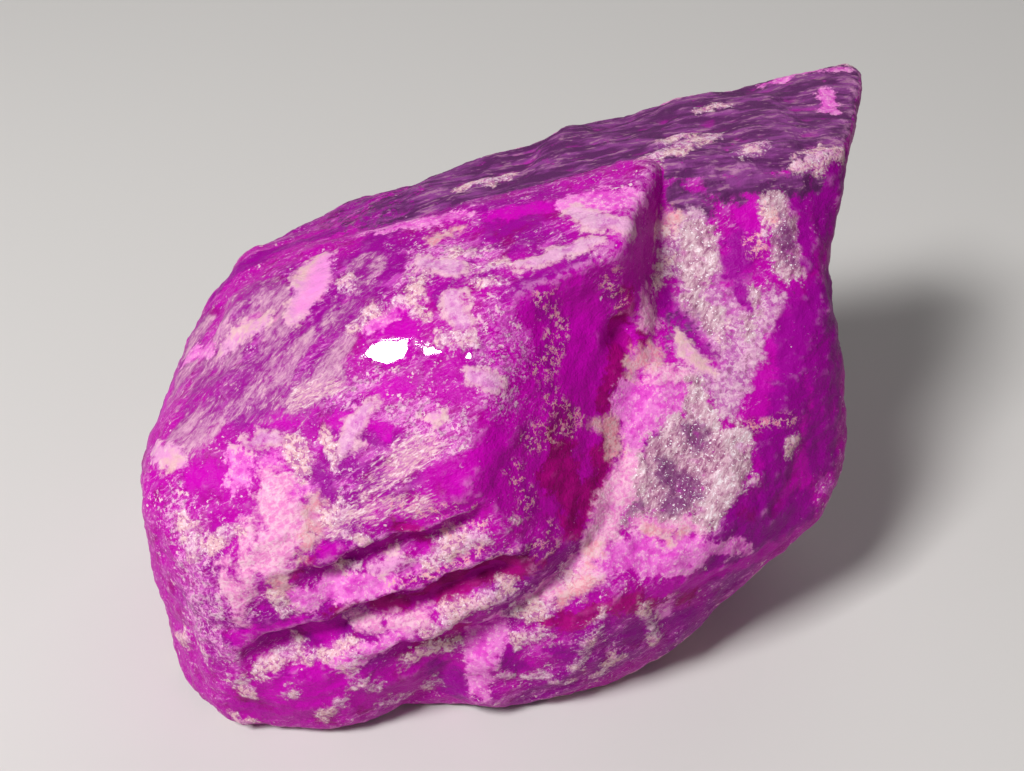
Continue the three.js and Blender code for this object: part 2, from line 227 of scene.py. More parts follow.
def waved(p):
    """Slow waves, so that no face is quite flat."""
    x, y, z = p.T
    long_waves = [
        np.sin(0.31 * y + 0.23 * z + 1),
        np.sin(0.27 * z + 0.33 * x + 4),
        np.sin(0.29 * x - 0.25 * y + 2.5),
    ]
    short_waves = [
        np.sin(0.83 * z - 0.57 * y + 2),
        np.sin(0.71 * x + 0.62 * z + 0.5),
        np.sin(0.77 * y + 0.66 * x + 3.5),
    ]
    return p + WAVE_LONG * np.stack(long_waves, 1) + WAVE_SHORT * np.stack(short_waves, 1)


def ledge_depth(p):
    """How far each point lies under the ledges' brinks, cut back from the front."""
    x, y, z = p.T
    ripple = 0.18 * np.sin(1.3 * x + 0.4) + 0.1 * np.sin(2.9 * x + 1)
    height = z - BED_SLOPE * x + BED_DIP * (y - BED_FRONT) + ripple
    deepest = np.zeros(len(p))
    for ledge in LEDGES:
        below = ledge["level"] + ledge["rise"] * x - height
        tread = 1 - np.clip((below - ledge["hollow"]) / ledge["tread"], 0, 1)
        start = smooth_step(ledge["start"], ledge["start"] + LEDGE_FADE, x)
        end = 1 - smooth_step(ledge["end"] - LEDGE_FADE, ledge["end"], x)
        depth = ledge["depth"] * smooth_step(0, LIP_EDGE, below) * tread * start * end
        deepest = np.maximum(deepest, depth)
    return deepest * (1 - smooth_step(*LEDGES_FADE, y))


def swell_height(p):
    total = np.zeros(len(p))
    for centre, reach, height in SWELLS.values():
        total += height * np.exp(-((p - centre) ** 2).sum(axis=1) / reach**2)
    return total


def parts_of(p):
    """The field's pieces: the body with the horn, the unbroken boss and the scarp."""
    q = waved(p)
    back = soft_min(body(q), horn(q), HORN_FILLET)
    scarp = soft_min(scarp_wall(q), scarp_slope(q), SCARP_FILLET)
    return back, boss(q), scarp


def field(p):
    """The whole stone: negative inside."""
    back, whole_boss, scarp = parts_of(p)
    broken_boss = soft_max(np.stack([whole_boss, scarp], 1), SCARP_ROUNDING) + ledge_depth(p)
    stone = soft_min(back, broken_boss, BOSS_FILLET) - swell_height(p)
    along = (p[:, 0] - FLAT_CENTRE[0]) / FLAT_HALF[0]
    across = (p[:, 1] - FLAT_CENTRE[1]) / FLAT_HALF[1]
    underside = UNDERSIDE_DROP * (along**2 + across**2 - 1) - p[:, 2]
    return soft_max(np.stack([stone, underside], 1), UNDERSIDE_ROUNDING)


def slope_of(p, step=0.02):
    slope = np.empty_like(p)
    for axis in range(3):
        shift = np.zeros(3)
        shift[axis] = step
        slope[:, axis] = (field(p + shift) - field(p - shift)) / (2 * step)
    return slope


def in_chunks(function, points, size=200_000):
    return np.concatenate([function(points[n : n + size]) for n in range(0, len(points), size)])


# ---- the net over the field ----

BOX_LOW = np.array([-20.5, -16.5, -1.5])
BOX_HIGH = np.array([21.5, 16.5, 26.5])


def field_on_grid():
    """The field at the points of a fine grid, worked out only near the surface."""
    blocks = np.ceil((BOX_HIGH - BOX_LOW) / (NET * COARSE)).astype(int)
    coarse_axes = [BOX_LOW[a] + NET * COARSE * (np.arange(blocks[a]) + 0.5) for a in range(3)]
    middles = np.stack(np.meshgrid(*coarse_axes, indexing="ij"), -1).reshape(-1, 3)
    reach = NET * COARSE * 1.5
    rough = field(middles).reshape(blocks)
    fine = np.repeat(np.repeat(np.repeat(rough, COARSE, 0), COARSE, 1), COARSE, 2)
    near = np.argwhere(np.abs(fine) < reach)
    fine[tuple(near.T)] = in_chunks(field, BOX_LOW + NET * near)
    return fine


def net_of(value):
    """Surface nets: a knot in every cell that the surface crosses, and a mesh of four knots
    across every grid edge that it crosses."""
    inside = value < 0
    cells = [slice(0, n - 1) for n in value.shape]
    corners = list(itertools.product((0, 1), repeat=3))
    count = np.zeros([n - 1 for n in value.shape], np.int8)
    for corner in corners:
        count += inside[tuple(slice(c, c + s.stop) for c, s in zip(corner, cells))]
    active = np.argwhere((count > 0) & (count < len(corners)))
    at_corner = {c: value[tuple((active + c).T)] for c in corners}
    total = np.zeros((len(active), 3))
    crossings = np.zeros(len(active))
    for low in corners:
        for axis in range(3):
            if low[axis]:
                continue
            high = tuple(c + (a == axis) for a, c in enumerate(low))
            first, second = at_corner[low], at_corner[high]
            crossed = (first < 0) != (second < 0)
            share = np.where(crossed, first / np.where(crossed, first - second, 1), 0)
            place = np.array(low) + share[:, None] * (np.arange(3) == axis)
            total += place * crossed[:, None]
            crossings += crossed
    knots = BOX_LOW + NET * (active + total / crossings[:, None])

    knot_of = np.full(count.shape, -1)
    knot_of[tuple(active.T)] = np.arange(len(active))
    meshes = []
    for axis in range(3):
        _, u, v = np.roll(np.eye(3, dtype=int), -axis, axis=0)
        ahead = np.roll(inside, -1, axis)
        starts = np.argwhere(inside != ahead)
        ring = [starts - u - v, starts - v, starts, starts - u]
        ring = np.stack([knot_of[tuple(cell.T)] for cell in ring], 1)
        outward = inside[tuple(starts.T)]
        ring[~outward] = ring[~outward][:, ::-1]
        meshes.append(ring)
    return knots, np.concatenate(meshes)


def neighbour_mean(values, meshes):
    """The mean of each knot's neighbours along the lines of the net."""
    total = np.zeros_like(values)
    count = np.bincount(meshes.ravel(), minlength=len(values)) * 2.0
    for turn in (1, -1):
        others = np.roll(meshes, turn, axis=1)
        for axis in range(values.shape[1]):
            total[:, axis] += np.bincount(
                meshes.ravel(), values[others.ravel(), axis], minlength=len(values)
            )
    return total / count[:, None]


def settled(knots):
    """Each knot moved towards the surface along the slope."""
    slope = slope_of(knots)
    steep = np.maximum((slope**2).sum(axis=1), 0.2)
    stride = np.clip(field(knots) / steep, -0.5 * NET, 0.5 * NET)
    return knots - slope * stride[:, None]


def normals_of(knots, meshes):
    """The net's own normals: each mesh's area vector shared by its four knots."""
    a, b, c, d = (knots[meshes[:, n]] for n in range(4))
    area = np.cross(c - a, d - b)
    total = np.zeros_like(knots)
    for n in range(4):
        for axis in range(3):
            total[:, axis] += np.bincount(meshes[:, n], area[:, axis], minlength=len(knots))
    return total / np.maximum(np.linalg.norm(total, axis=1, keepdims=True), 1e-9)


# ---- noise ----


def fractal(p, scale, octaves, seed):
    """Fractal noise between about -1 and 1; scale is in waves per millimetre."""
    shift = np.array([37.1, 11.7, 5.3]) * seed
    values = [
        noise.fractal(Vector(q), 0.8, 2.0, octaves, noise_basis="PERLIN_ORIGINAL")
        for q in p * scale + shift
    ]
    return np.array(values)


def stretched(p, direction, amount):
    """Points squeezed along a direction, so that noise read at them is drawn out along it."""
    along = np.array(direction, float)
    along /= np.linalg.norm(along)
    return p - np.outer(p @ along, along) * (1 - 1 / amount)


# ---- the stone ----

TOWARD_FRONT = (0, -0.79, 0.62)  # the side whose patches are given one by one
STREAK = (0.86, 0.2, 0.46)  # the way the boss's streaks run
HAIRS = (0.57, 0.62, 0.53)  # the way the crest's hairs run
GRAIN = (0.45, 0.62, 0.64)  # the way the grey grain's plates are drawn out
BEDDING = (0.94, 0, 0.34)  # the way the ledges run
FIBRE = (0.35, -0.5, 0.8)  # the way the golden fibres run
TOP_GRAIN = (1, 0.05, 0.13)  # the way the weathered top's flakes run

# Patches of colour, by kind. Each has a middle line: points, each with the half width there.
PATCHES = {
    "hairs": {  # drawn-out cream flecks over violet
        "left of the crest": [(-13.3, -1.1, 18.6, 1.4), (-14.6, -4.2, 16.6, 1.6), (-15.3, -8, 15.6, 1.2)],
        "middle of the crest": [(-10.8, -5.6, 18.5, 1.4), (-12.3, -7.5, 17, 1.4)],
        "right of the middle": [(-8.5, -7.2, 18.5, 0.9), (-9.9, -8, 17.4, 0.9)],
        "behind the oval": [(-12.5, -0.7, 18.9, 0.8), (-11.5, -3.5, 18.8, 0.9)],
        "left rim": [(-16.3, 0.4, 15.3, 0.8), (-16.9, -3.3, 14.6, 0.7)],
        "crest high": [(-6.9, -1.5, 20.7, 0.6), (-8.5, -6.2, 19, 0.6)],
    },
    "mottled": {  # thick pale flecks
        "crest": [(-5.6, -2.8, 20.9, 1.2), (-4, -1.9, 21.5, 0.8), (-1.5, -2.7, 22, 0.8)],
        "boss": [(-8.9, -7.9, 17.9, 1.1), (-5.6, -8.9, 18.4, 1.2), (-3.2, -10.6, 17.8, 1.2)],
        "boss right": [(-1, -6.6, 21, 0.8), (-0.5, -9.2, 18.9, 1), (0.4, -7, 20.1, 0.8)],
        "right of the lump": [(-9, -11.1, 15.2, 0.7), (-8.1, -11.7, 14.8, 0.7)],
        "left end": [(-15.8, -10.8, 13.6, 0.8), (-14.8, -12.7, 11.6, 1.1), (-15, -13.1, 7.3, 1)],
        "left end right": [(-12.5, -13.9, 9.5, 0.6), (-13.4, -13.7, 10, 0.8), (-13.8, -13.9, 6.8, 0.8)],
        "ledge A": [(-5.2, -13, 11.6, 0.6), (-4.7, -13.2, 11.2, 0.4)],
        "front": [(-10.3, -14.1, 5.5, 0.4), (-8.8, -13.9, 6, 0.4)],
    },
    "clean": {  # hardly any flecks
        "crest right": [(-0.6, -1, 22.4, 0.6), (2.8, 0, 23.4, 0.8)],
        "flank": [
            (14.3, -0.3, 20.7, 1), (14, -3.5, 17.6, 2),
            (13.7, -6, 13.4, 2.2), (12.3, -8.6, 9.6, 2.4),
        ],
        "scarp": [(2.2, -5.2, 21, 1.8), (3.7, -7, 16.6, 2.4), (2.3, -9.9, 14, 2)],
        "front bottom": [(-13, -13.9, 2.5, 1.2), (-9.9, -14.2, 4, 1.8), (-3.6, -12.4, 3.5, 1.3)],
        "left of groove B": [(-12.6, -14, 7.6, 0.8), (-10.4, -13.6, 7.8, 1.2), (-8, -13.2, 7.8, 0.8)],
        "boss right": [(-3, -12.3, 15.8, 0.9), (-0.8, -11.8, 15.8, 1.4)],
        "horn side": [(16.2, 3, 22, 2), (16.5, 1, 18, 2)],
    },
    # partly painted light: in notch A and on the knob side these hot patches brighten faces that lie in
    # shade; elsewhere they are the stone's own clear magenta
    "hot_and_painted_light": {  # clear hot magenta
        "left rim": [(-17.2, -1.8, 14.3, 0.5), (-17.6, -3.7, 13.6, 0.5)],
        "left of the lump": [(-14.8, -10.2, 14.5, 0.5), (-12.9, -10.3, 15, 0.5)],
        "boss right": [(-2.2, -12.2, 16.2, 0.6), (-1, -11.2, 16.8, 0.8)],
        # painted light in the notch, which lies in shade
        "notch A": [(-8.5, -13.5, 12.6, 0.3), (-7.6, -13.3, 13, 0.4), (-6.2, -12.5, 12.4, 0.3)],
        "front left": [(-12.5, -14.1, 7.6, 0.6), (-10.5, -13.9, 8.5, 0.6), (-8.8, -13, 7.3, 0.5)],
        "foot": [(-10.9, -14.2, 4.2, 1.1), (-8.9, -14.1, 4.8, 1.1)],
        "crest": [(-1.1, 0.4, 22.4, 0.4), (0.4, 0.3, 22.8, 0.4), (1.8, 0.2, 23.2, 0.3)],
        "below the lobe": [(-5.9, -6.3, 19.7, 0.4), (-4.5, -6.4, 20.1, 0.4)],
        # painted light on the knob side, a face turned from the key lamp
        "knob side": [(5.3, -3.3, 23.2, 0.7), (5.9, -3, 21.7, 0.8), (6.1, -3, 20.5, 0.5)],
        "sill edge": [(7.2, -11.4, 8.1, 0.3), (9.3, -10.3, 7.8, 0.5)],
        "lobe": [(-5.9, -5.6, 20, 0.5), (-5.2, -5.5, 20.3, 0.4)],
        "below the horn": [(11.8, 1, 22.6, 0.6), (11.7, 0.2, 21.7, 0.5)],
        "sill right": [(8.8, -10.6, 8.1, 0.3), (10.9, -9.3, 7.5, 0.4), (13.1, -8.1, 7.7, 0.4)],
        "facet of the crest": [(-6.5, -8.7, 18.3, 0.3), (-5.1, -8.6, 18.8, 0.4)],
        "boss middle": [(-6, -10.1, 17.3, 0.5), (-7.7, -9.3, 17.3, 0.4)],
        "above the lump": [(-12, -8.6, 16.4, 0.3), (-10.6, -8.6, 16.7, 0.3), (-9.4, -8.5, 17.2, 0.3)],
        # painted light in the notch
        "notch A right": [(-5, -13.1, 13.9, 0.3), (-4.1, -12.4, 12.6, 0.19)],
    },
    # partly painted shade: on the right flank these violet patches darken a face turned from the light;
    # elsewhere the stone's own violet
    "violet": {  # clear dark violet
        "far rim": [(-9.6, 4.2, 19, 0.5), (-13.7, 4, 17.5, 0.7), (-15.9, 3.1, 15.8, 0.4)],
        "beside the oval": [(-8, -3.5, 20, 0.4), (-8.5, -4.2, 19.7, 0.5), (-9.5, -5.1, 19.1, 0.3)],
        "behind the oval": [(-6.7, 0.7, 20.8, 0.5), (-7.4, -1.1, 20.6, 0.5)],
        "below the horn": [(11.2, 0, 21.3, 0.5), (11.1, -1.2, 19.9, 0.5), (11.6, -2.3, 18.8, 0.25)],
        "dark streak": [
            (7.5, -1.8, 19, 0.3), (8.3, -2.6, 18.3, 0.5),
            (9, -3.5, 17.5, 0.5), (9.5, -4, 17.1, 0.25),
        ],
        "sill right": [(10.3, -9.9, 8.8, 0.9), (12.4, -8.6, 8.9, 1.1)],
        "cell left": [(0.1, -12.7, 5.1, 0.6), (0.4, -12.7, 4.1, 0.4)],
        "cell right": [(2.1, -12.6, 5.3, 0.4), (2.2, -12.6, 5, 0.4)],
        "left of the rib": [(-3.6, -12.6, 4.2, 0.6), (-2.9, -12.4, 2.1, 0.6)],
        "below the triangle": [(6.4, -11.6, 5.6, 0.6), (9.1, -10, 5, 0.5)],
        "horn side": [
            (17.6, 10.3, 24.2, 0.5), (16.4, 5.4, 24.3, 0.6),
            (15.6, 2.2, 23.2, 0.6), (15.6, 1, 21.4, 0.7),
        ],
        # painted shade on the right flank
        "flank right": [(15.5, -1.7, 18.7, 0.9), (15.6, -4, 15.5, 1.2), (15.8, -5.3, 12, 1.2)],
        "flank foot": [(14.6, -7.1, 9.6, 1), (12.5, -8.5, 8.5, 0.8)],
        "flank middle": [(13.9, -3.3, 18, 0.9), (13.8, -5.3, 15.3, 1), (13, -7.2, 12.3, 1)],
        "crest pockets": [(-5.7, -1.8, 21, 0.4), (-6.3, -3.2, 20.6, 0.4)],
        "crest pocket low": [(-3.4, -4.8, 21.1, 0.23), (-2.8, -4.6, 21.4, 0.23)],
        "net of the lump": [(-8.7, -10.9, 15.4, 0.4), (-8.3, -11.7, 14.8, 0.3)],
        "beside the strip": [(14.3, 1.3, 22.6, 0.4), (14.6, -0.6, 20.3, 0.4)],
    },
    # partly painted shade: dark crimson in the notches, grooves, creases, the foot of the scarp and under
    # the sill, where shade falls; on the unseen sides the stone's own deep red
    "deep_red_and_shade": {  # dark crimson
        "tip of notch A": [(-9.8, -13.6, 11.8, 0.14), (-9.1, -13.5, 12.4, 0.23)],
        "right of notch A": [(-6.5, -12.8, 11.9, 0.2), (-5.9, -12.7, 12.1, 0.15)],
        "second notch": [(-5.3, -13.1, 13.9, 0.3), (-4.4, -13.2, 13.8, 0.4), (-4, -12.4, 12.6, 0.2)],
        "groove B left": [(-8.8, -13.9, 8.7, 0.3), (-7.3, -13.9, 9.8, 0.3), (-6, -12.8, 9.1, 0.5)],
        "groove B": [
            (-6, -12.8, 9.1, 0.5), (-3.9, -12.5, 9.3, 0.6),
            (-1.5, -12.1, 10.4, 0.8), (0.6, -12.4, 11.1, 0.7),
        ],
        "groove C": [(-2.3, -12.5, 6.7, 0.3), (-3.3, -12.7, 5.9, 0.25), (-4.7, -13.1, 6.1, 0.2)],
        "below the crust": [(1.6, -12.4, 7.1, 0.3), (3.1, -12.5, 7.3, 0.4), (3.9, -12.3, 7.9, 0.25)],
        "foot of the scarp": [(2.2, -8.4, 16.5, 0.7), (2.3, -9.7, 14.5, 1), (3, -10.1, 13, 0.8)],
        "crease": [(4.7, -7.4, 14.4, 0.5), (4.2, -8.8, 13.1, 0.6), (2.7, -11, 11.9, 0.5)],
        "below the knob": [(5.4, -3.8, 20.2, 0.4), (5.2, -4.4, 17.6, 0.5), (4.5, -6.5, 16.2, 0.5)],
        "under the sill": [(3.8, -12.4, 7.6, 0.3), (6.2, -11.8, 7.7, 0.4), (8.9, -10.3, 6.5, 0.3)],
        "valley red": [(6.5, -3.8, 17.8, 0.3), (6.6, -3.5, 18.2, 0.25)],
    },
    "pink": {  # clear pink
        "left of the lump": [(-12.6, -9.8, 15.4, 0.5), (-12.7, -10.8, 14.8, 0.4)],
        "lump": [(-11.3, -10.4, 15.3, 0.7), (-10.2, -11.3, 14.8, 0.7)],
        "left end high": [(-16.7, -1.2, 14.9, 0.5), (-15, -2.8, 16.7, 0.4)],
        "ledge A": [
            (-9.9, -13.8, 10.1, 0.6), (-7.8, -13.4, 10.5, 0.8),
            (-5.9, -13.5, 10.8, 0.5), (-5.1, -13.2, 11.3, 0.3),
        ],
        "lobe of the crest": [(-6.4, -5.6, 19.9, 0.4), (-5.3, -5.2, 20.4, 0.4)],
        "knob": [(2.6, 0.2, 23.2, 0.4), (4.6, -0.4, 23.7, 0.9), (6.2, -0.9, 23.7, 0.7)],
        "behind the crest": [(-7.5, 1.9, 20.4, 0.3), (-4.6, 1.4, 21.3, 0.4), (-2.3, 1.1, 22, 0.4)],
        "valley band": [(5.8, -6, 15.8, 0.9), (6.8, -6, 15.8, 1.3), (7.6, -5.8, 15.9, 0.9)],
        "rib": [(-0.7, -12.1, 7.3, 0.5), (-1.3, -12.7, 5.5, 0.8), (-1.6, -12.9, 2.6, 0.6)],
        "lip B": [(-8.1, -14, 6.1, 0.4), (-6.3, -13.9, 6.8, 0.5), (-5.3, -13.7, 7.8, 0.4)],
        "triangle": [(7.7, -11, 6.8, 0.5), (7.6, -11, 6, 0.3)],
        "sill": [
            (4.5, -11.2, 10.1, 0.7), (6.4, -10.9, 10, 1.1),
            (8.3, -10.7, 9.8, 0.9), (9.4, -10.1, 9.9, 0.6),
        ],
        "tip": [(16.7, 9.9, 24, 0.4), (16.7, 8.1, 24.1, 0.4)],
        "far edge": [(14, 13, 23.3, 0.3), (16, 13.6, 23.6, 0.4), (18.3, 13.3, 23.9, 0.3)],
        "valley band low": [(6.2, -6.9, 14.5, 0.8), (5.8, -7.5, 13.9, 0.5)],
        "sill right": [(9.9, -10.1, 9.7, 0.5), (11.6, -9.1, 9.1, 0.4)],
    },
    "lilac": {  # silky lilac
        "right of the valley": [
            (12.3, -2.3, 18.9, 0.7), (11.4, -3.4, 17.8, 1),
            (10.9, -4.6, 16.6, 1), (10.5, -5.7, 15.5, 0.7),
        ],
        "face": [
            (8.8, 0.5, 21.7, 0.8), (9.2, -0.6, 20.3, 1.2),
            (9.5, -1.9, 18.9, 1.4), (10, -3.1, 17.9, 1.2),
        ],
        "face right": [(11.2, -1.7, 19.3, 0.7), (10.7, -3.1, 17.9, 1.1)],
        "beside the white": [(8.7, -5, 16.3, 0.5), (10, -5.2, 16, 0.6)],
    },
    "rosy": {  # rosy white grains
        "lump": [(-10.9, -11.9, 14.4, 0.9), (-10.3, -12.8, 13.6, 0.9), (-11.1, -13.5, 12.4, 0.7)],
        "left of the lump": [
            (-12.2, -12.3, 13.8, 0.3), (-12.2, -13.7, 11.3, 0.3),
            (-13, -13.9, 8.9, 0.3),
        ],
        "valley upper": [(6.5, -2.8, 19.6, 0.5), (6.8, -3.2, 18.4, 0.5)],
        "valley lower": [
            (5.8, -8, 13.3, 0.6), (5.1, -8.8, 12.4, 0.7),
            (4.5, -9.6, 11.6, 0.8), (3.8, -10.5, 10.8, 0.6),
        ],
        "valley foot": [(4.3, -10.1, 11.1, 0.7), (3.8, -11, 10.2, 0.5)],
        "sill crust": [(0.9, -11.8, 8.5, 0.6), (2.3, -11.5, 9.1, 0.6), (3.8, -11.2, 10, 0.4)],
        "island": [(-7.7, -12.9, 8.2, 0.3), (-6.9, -13, 8.3, 0.4), (-6.5, -13.3, 7.9, 0.3)],
        "lip B": [(-5.3, -13.4, 8.2, 0.4), (-4.2, -13.1, 8.4, 0.4)],
        "sill foot": [(2.6, -11.8, 8.7, 0.3), (3.8, -11.6, 9.5, 0.4)],
        "lump upper": [(-11.5, -10.7, 15.1, 0.5), (-10.5, -11, 15, 0.6)],
        "round spot": [(-13.2, -13.2, 12, 0.3), (-13.1, -13.7, 10.6, 0.3)],
        "grain foot": [(6.2, -9.8, 11.3, 0.3), (7.6, -9.8, 11.2, 0.4), (9.3, -9.7, 11.1, 0.3)],
        "band top": [(6.6, -5, 16.6, 0.3), (8.4, -5, 16.4, 0.3)],
    },
    "peach": {  # peach and cream grains
        "rim of the lump": [(-9, -11.9, 14.5, 0.3), (-9.1, -12.7, 13.7, 0.3), (-9.7, -13.4, 12.7, 0.23)],
        "foot of the lump": [(-10.9, -13.8, 11.2, 0.3), (-10.6, -13.8, 10.8, 0.25)],
        "valley middle": [(6, -4.7, 17.1, 0.5), (6.9, -4.3, 17.1, 0.5)],
        "sill": [(2.3, -12, 8.3, 0.3), (3.7, -11.8, 9, 0.4)],
        "crest rim": [(-4, -0.6, 21.5, 0.2), (-2.6, -0.1, 21.9, 0.2)],
        "knob foot top": [(7.8, 0.8, 21.9, 0.4), (7.3, 0.2, 21.3, 0.3)],
        "rim of the band": [(3.9, -7.5, 15.5, 0.24), (4.7, -7, 15.1, 0.3), (5, -7.5, 13.9, 0.19)],
        "foot of the grain": [(6.7, -10, 11, 0.15), (8.1, -10.1, 10.7, 0.2)],
        "rim of the sill": [(4.2, -10.7, 10.6, 0.24), (3.8, -11.2, 10.1, 0.24)],
    },
    "silk": {  # fine white hairs
        "streak": [
            (-6.6, -12, 15.1, 0.3), (-5.5, -11.6, 16.1, 0.5),
            (-4.4, -11.2, 17, 0.5), (-3.6, -11.1, 17.3, 0.3),
        ],
        "thin beds": [(-6.7, -12.5, 14.4, 0.2), (-5.3, -12.6, 14.9, 0.25), (-3.9, -12.8, 15, 0.2)],
        "over the lump": [(-9.9, -8, 17.4, 0.2), (-8.5, -7.8, 18.1, 0.2)],
        "left of the streak": [(-8.5, -12.7, 13.8, 0.3), (-7.4, -12.4, 14.4, 0.3)],
    },
    "grain": {  # sparkling grey grain
        "upper grain": [(9.3, 0.1, 21.2, 0.8), (9.3, -0.8, 20, 1)],
        "upper grain low": [(8.9, -2, 18.7, 0.6), (9.8, -2.8, 18.1, 0.5), (10.5, -3.4, 17.6, 0.3)],
        "beside the violet": [(11.8, -1.9, 19.2, 0.5), (11.6, -3.2, 18, 0.3)],
        "neck": [(8.7, -5.2, 16.1, 0.25), (9.1, -6.1, 15.2, 0.6)],
        "middle": [(9.2, -6.4, 14.9, 0.7), (8.8, -7.5, 13.6, 1.5), (7.6, -8.8, 12.2, 1.3)],
        "right": [(10.9, -7.2, 13.9, 0.8), (10.4, -8.2, 12.7, 1.1), (9.6, -9.3, 11.6, 0.7)],
        "left": [(6.7, -9.2, 11.9, 0.5), (5.5, -9.7, 11.4, 0.19)],
        "strip": [(12.9, 1.2, 22.8, 0.4), (13.6, 0.4, 21.7, 0.7), (13.6, -1, 20.2, 0.7)],
        "left edge": [(8.1, -6.7, 14.8, 0.5), (7.3, -7.6, 13.6, 0.7), (6.7, -8.6, 12.6, 0.7)],
    },
    "white_grain": {  # whiter grain
        "right": [
            (9.3, -5.7, 15.6, 0.4), (11, -7, 14.1, 0.6),
            (10.6, -8.1, 12.8, 0.6), (9.7, -9.1, 11.8, 0.5),
        ],
        "upper": [(9.6, -0.3, 20.7, 0.4), (9.7, -1.4, 19.4, 0.3)],
        "strip foot": [(13.7, -1.3, 19.9, 0.3), (13.2, -1.5, 19.7, 0.3)],
    },
    "dark_grain": {  # dark cores of the grain
        "core": [(7.4, -8.2, 12.9, 0.5), (8.6, -8.5, 12.3, 0.6), (7.6, -9.3, 11.7, 0.3)],
        "spot": [(8.6, -6.7, 14.6, 0.3), (9, -7.1, 14.2, 0.2)],
        "left tip": [(5.6, -9.6, 11.5, 0.2), (6, -9.4, 11.7, 0.2)],
        "high": [(8.6, -6.8, 14.5, 0.25), (9.2, -7.3, 13.8, 0.25)],
        "strip": [(13.4, 0.2, 21.5, 0.4), (13.7, -0.7, 20.5, 0.4)],
    },
    "pale": {  # lilac and cream slabs
        "oval": [(-9.7, 0, 19.9, 0.8), (-9.8, -2, 19.6, 0.9), (-10.4, -3.7, 19.1, 0.6)],
        "slab behind the oval": [
            (-12.2, -3.3, 18.5, 0.4), (-13.5, -3.3, 17.5, 0.5),
            (-14.1, -3.7, 17, 0.3),
        ],
        "left knob": [(-17.2, -7.8, 14.2, 0.5), (-16.2, -9, 14.7, 0.6), (-15.7, -9.5, 14.6, 0.25)],
        "ledge A": [(-6.4, -13, 11.6, 0.3), (-5.4, -12.9, 11.8, 0.3)],
        "valley white": [(8.1, -3.4, 17.6, 0.3), (8.7, -4.1, 17.1, 0.5), (9.3, -4.5, 16.7, 0.3)],
        "boss spot": [(-3.7, -10, 18.2, 0.3), (-3.3, -10, 18.3, 0.3)],
    },
    "mauve": {  # lilac slabs with a cream rim
        "crest a": [(-4.2, -2.4, 21.4, 0.4), (-2.7, -3.5, 21.6, 0.6)],
        "crest b": [(-2.7, -5.3, 21.2, 0.5), (-2.2, -6.6, 20.7, 0.5)],
        "crest slab": [
            (0.4, -4.2, 22.3, 0.2), (1.5, -3.8, 22.6, 0.4),
            (3.4, -3.6, 23.1, 0.4), (4.1, -3.4, 23.3, 0.2),
        ],
        "crest slab high": [(3, -1, 23.4, 0.4), (4.2, -2.2, 23.5, 0.6), (5.2, -2.6, 23.5, 0.4)],
        "facet of the lump": [(-6.3, -9, 18.1, 0.3), (-7.1, -9.7, 17.1, 0.5), (-7.7, -10.5, 16.2, 0.3)],
        "right of the glint": [(-1.7, -8.8, 19.5, 0.4), (-0.8, -9.1, 19.1, 0.5)],
        "top of the lump": [(-12.4, -9.3, 15.8, 0.3), (-11.6, -9.2, 16, 0.4), (-11, -9.4, 16.1, 0.3)],
    },
    "oval_core": {  # a pink stripe
        "core": [(-9.3, -0.3, 20, 0.4), (-9.4, -1.9, 19.8, 0.5), (-10.1, -3.2, 19.4, 0.4)],
    },
    "crust": {  # granular crust, cream and grey
        "pits of the lump": [
            (-10.4, -9.4, 16.2, 0.24), (-9.8, -10.2, 15.7, 0.4),
            (-9.8, -10.9, 15.2, 0.19),
        ],
        "right of the pits": [
            (-8.6, -9.7, 16.5, 0.3), (-8.3, -10.4, 16, 0.23),
            (-7.9, -10.8, 15.8, 0.18),
        ],
        "foot of the rim": [(-10.9, -13.9, 10.2, 0.3), (-10.6, -13.9, 9.4, 0.3)],
        "left of the notch": [(-8.3, -12.5, 14.1, 0.3), (-7.6, -12.2, 14.5, 0.25)],
        "ledge A": [
            (-4, -12.9, 11.7, 0.3), (-3.1, -12.7, 12.5, 0.6),
            (-1.8, -12.7, 13.1, 0.5), (0.2, -12.1, 13.7, 0.1),
        ],
        "spot on ledge A": [(-8, -12.8, 11.5, 0.2), (-7.3, -13, 11.4, 0.2)],
        "above the notch": [(-6.7, -13.1, 13.5, 0.15), (-7.6, -13, 13.5, 0.15)],
        "lip B left": [(-12.1, -13.9, 5.5, 0.3), (-11.4, -13.7, 6, 0.4), (-10.5, -13.4, 6.5, 0.25)],
        "lip B edge": [(-9.8, -13.8, 6.1, 0.2), (-8.6, -13.6, 6.4, 0.3), (-7.7, -13.6, 7.1, 0.2)],
        "lip B streak": [(-7.5, -13.9, 6.6, 0.2), (-7.9, -14, 5.1, 0.2)],
        "lip B right": [
            (-3.1, -13.3, 8.4, 0.3), (-2.4, -13.1, 8.8, 0.3),
            (-1.4, -13.1, 9, 0.3), (-0.3, -12.5, 9.8, 0.3),
        ],
        "below lip B": [(-3.9, -13.6, 7.8, 0.3), (-3, -13.4, 8, 0.25)],
        "lip C": [(-5, -13.4, 5.3, 0.25), (-4.4, -13.1, 5.6, 0.3), (-2.5, -12.5, 5.9, 0.2)],
        "sill crust left": [(0, -12, 7.7, 0.4), (0.9, -12.1, 7.5, 0.5), (1.6, -12.1, 7.9, 0.4)],
        "sill crust high": [(2.3, -11.3, 9.7, 0.4), (2.6, -11.5, 9.3, 0.25)],
        "twisted spur": [(0.4, -12.5, 5.8, 0.2), (1.6, -12.5, 6.2, 0.25), (2, -12.6, 5.9, 0.1)],
        "below the sill": [(4.3, -12.4, 7.4, 0.2), (3.7, -12.6, 5.8, 0.3), (3.2, -12.4, 3.9, 0.25)],
        "foot right": [(-0.3, -12.9, 3.6, 0.25), (1.4, -12.5, 3.4, 0.2), (2.7, -12.2, 2.6, 0.2)],
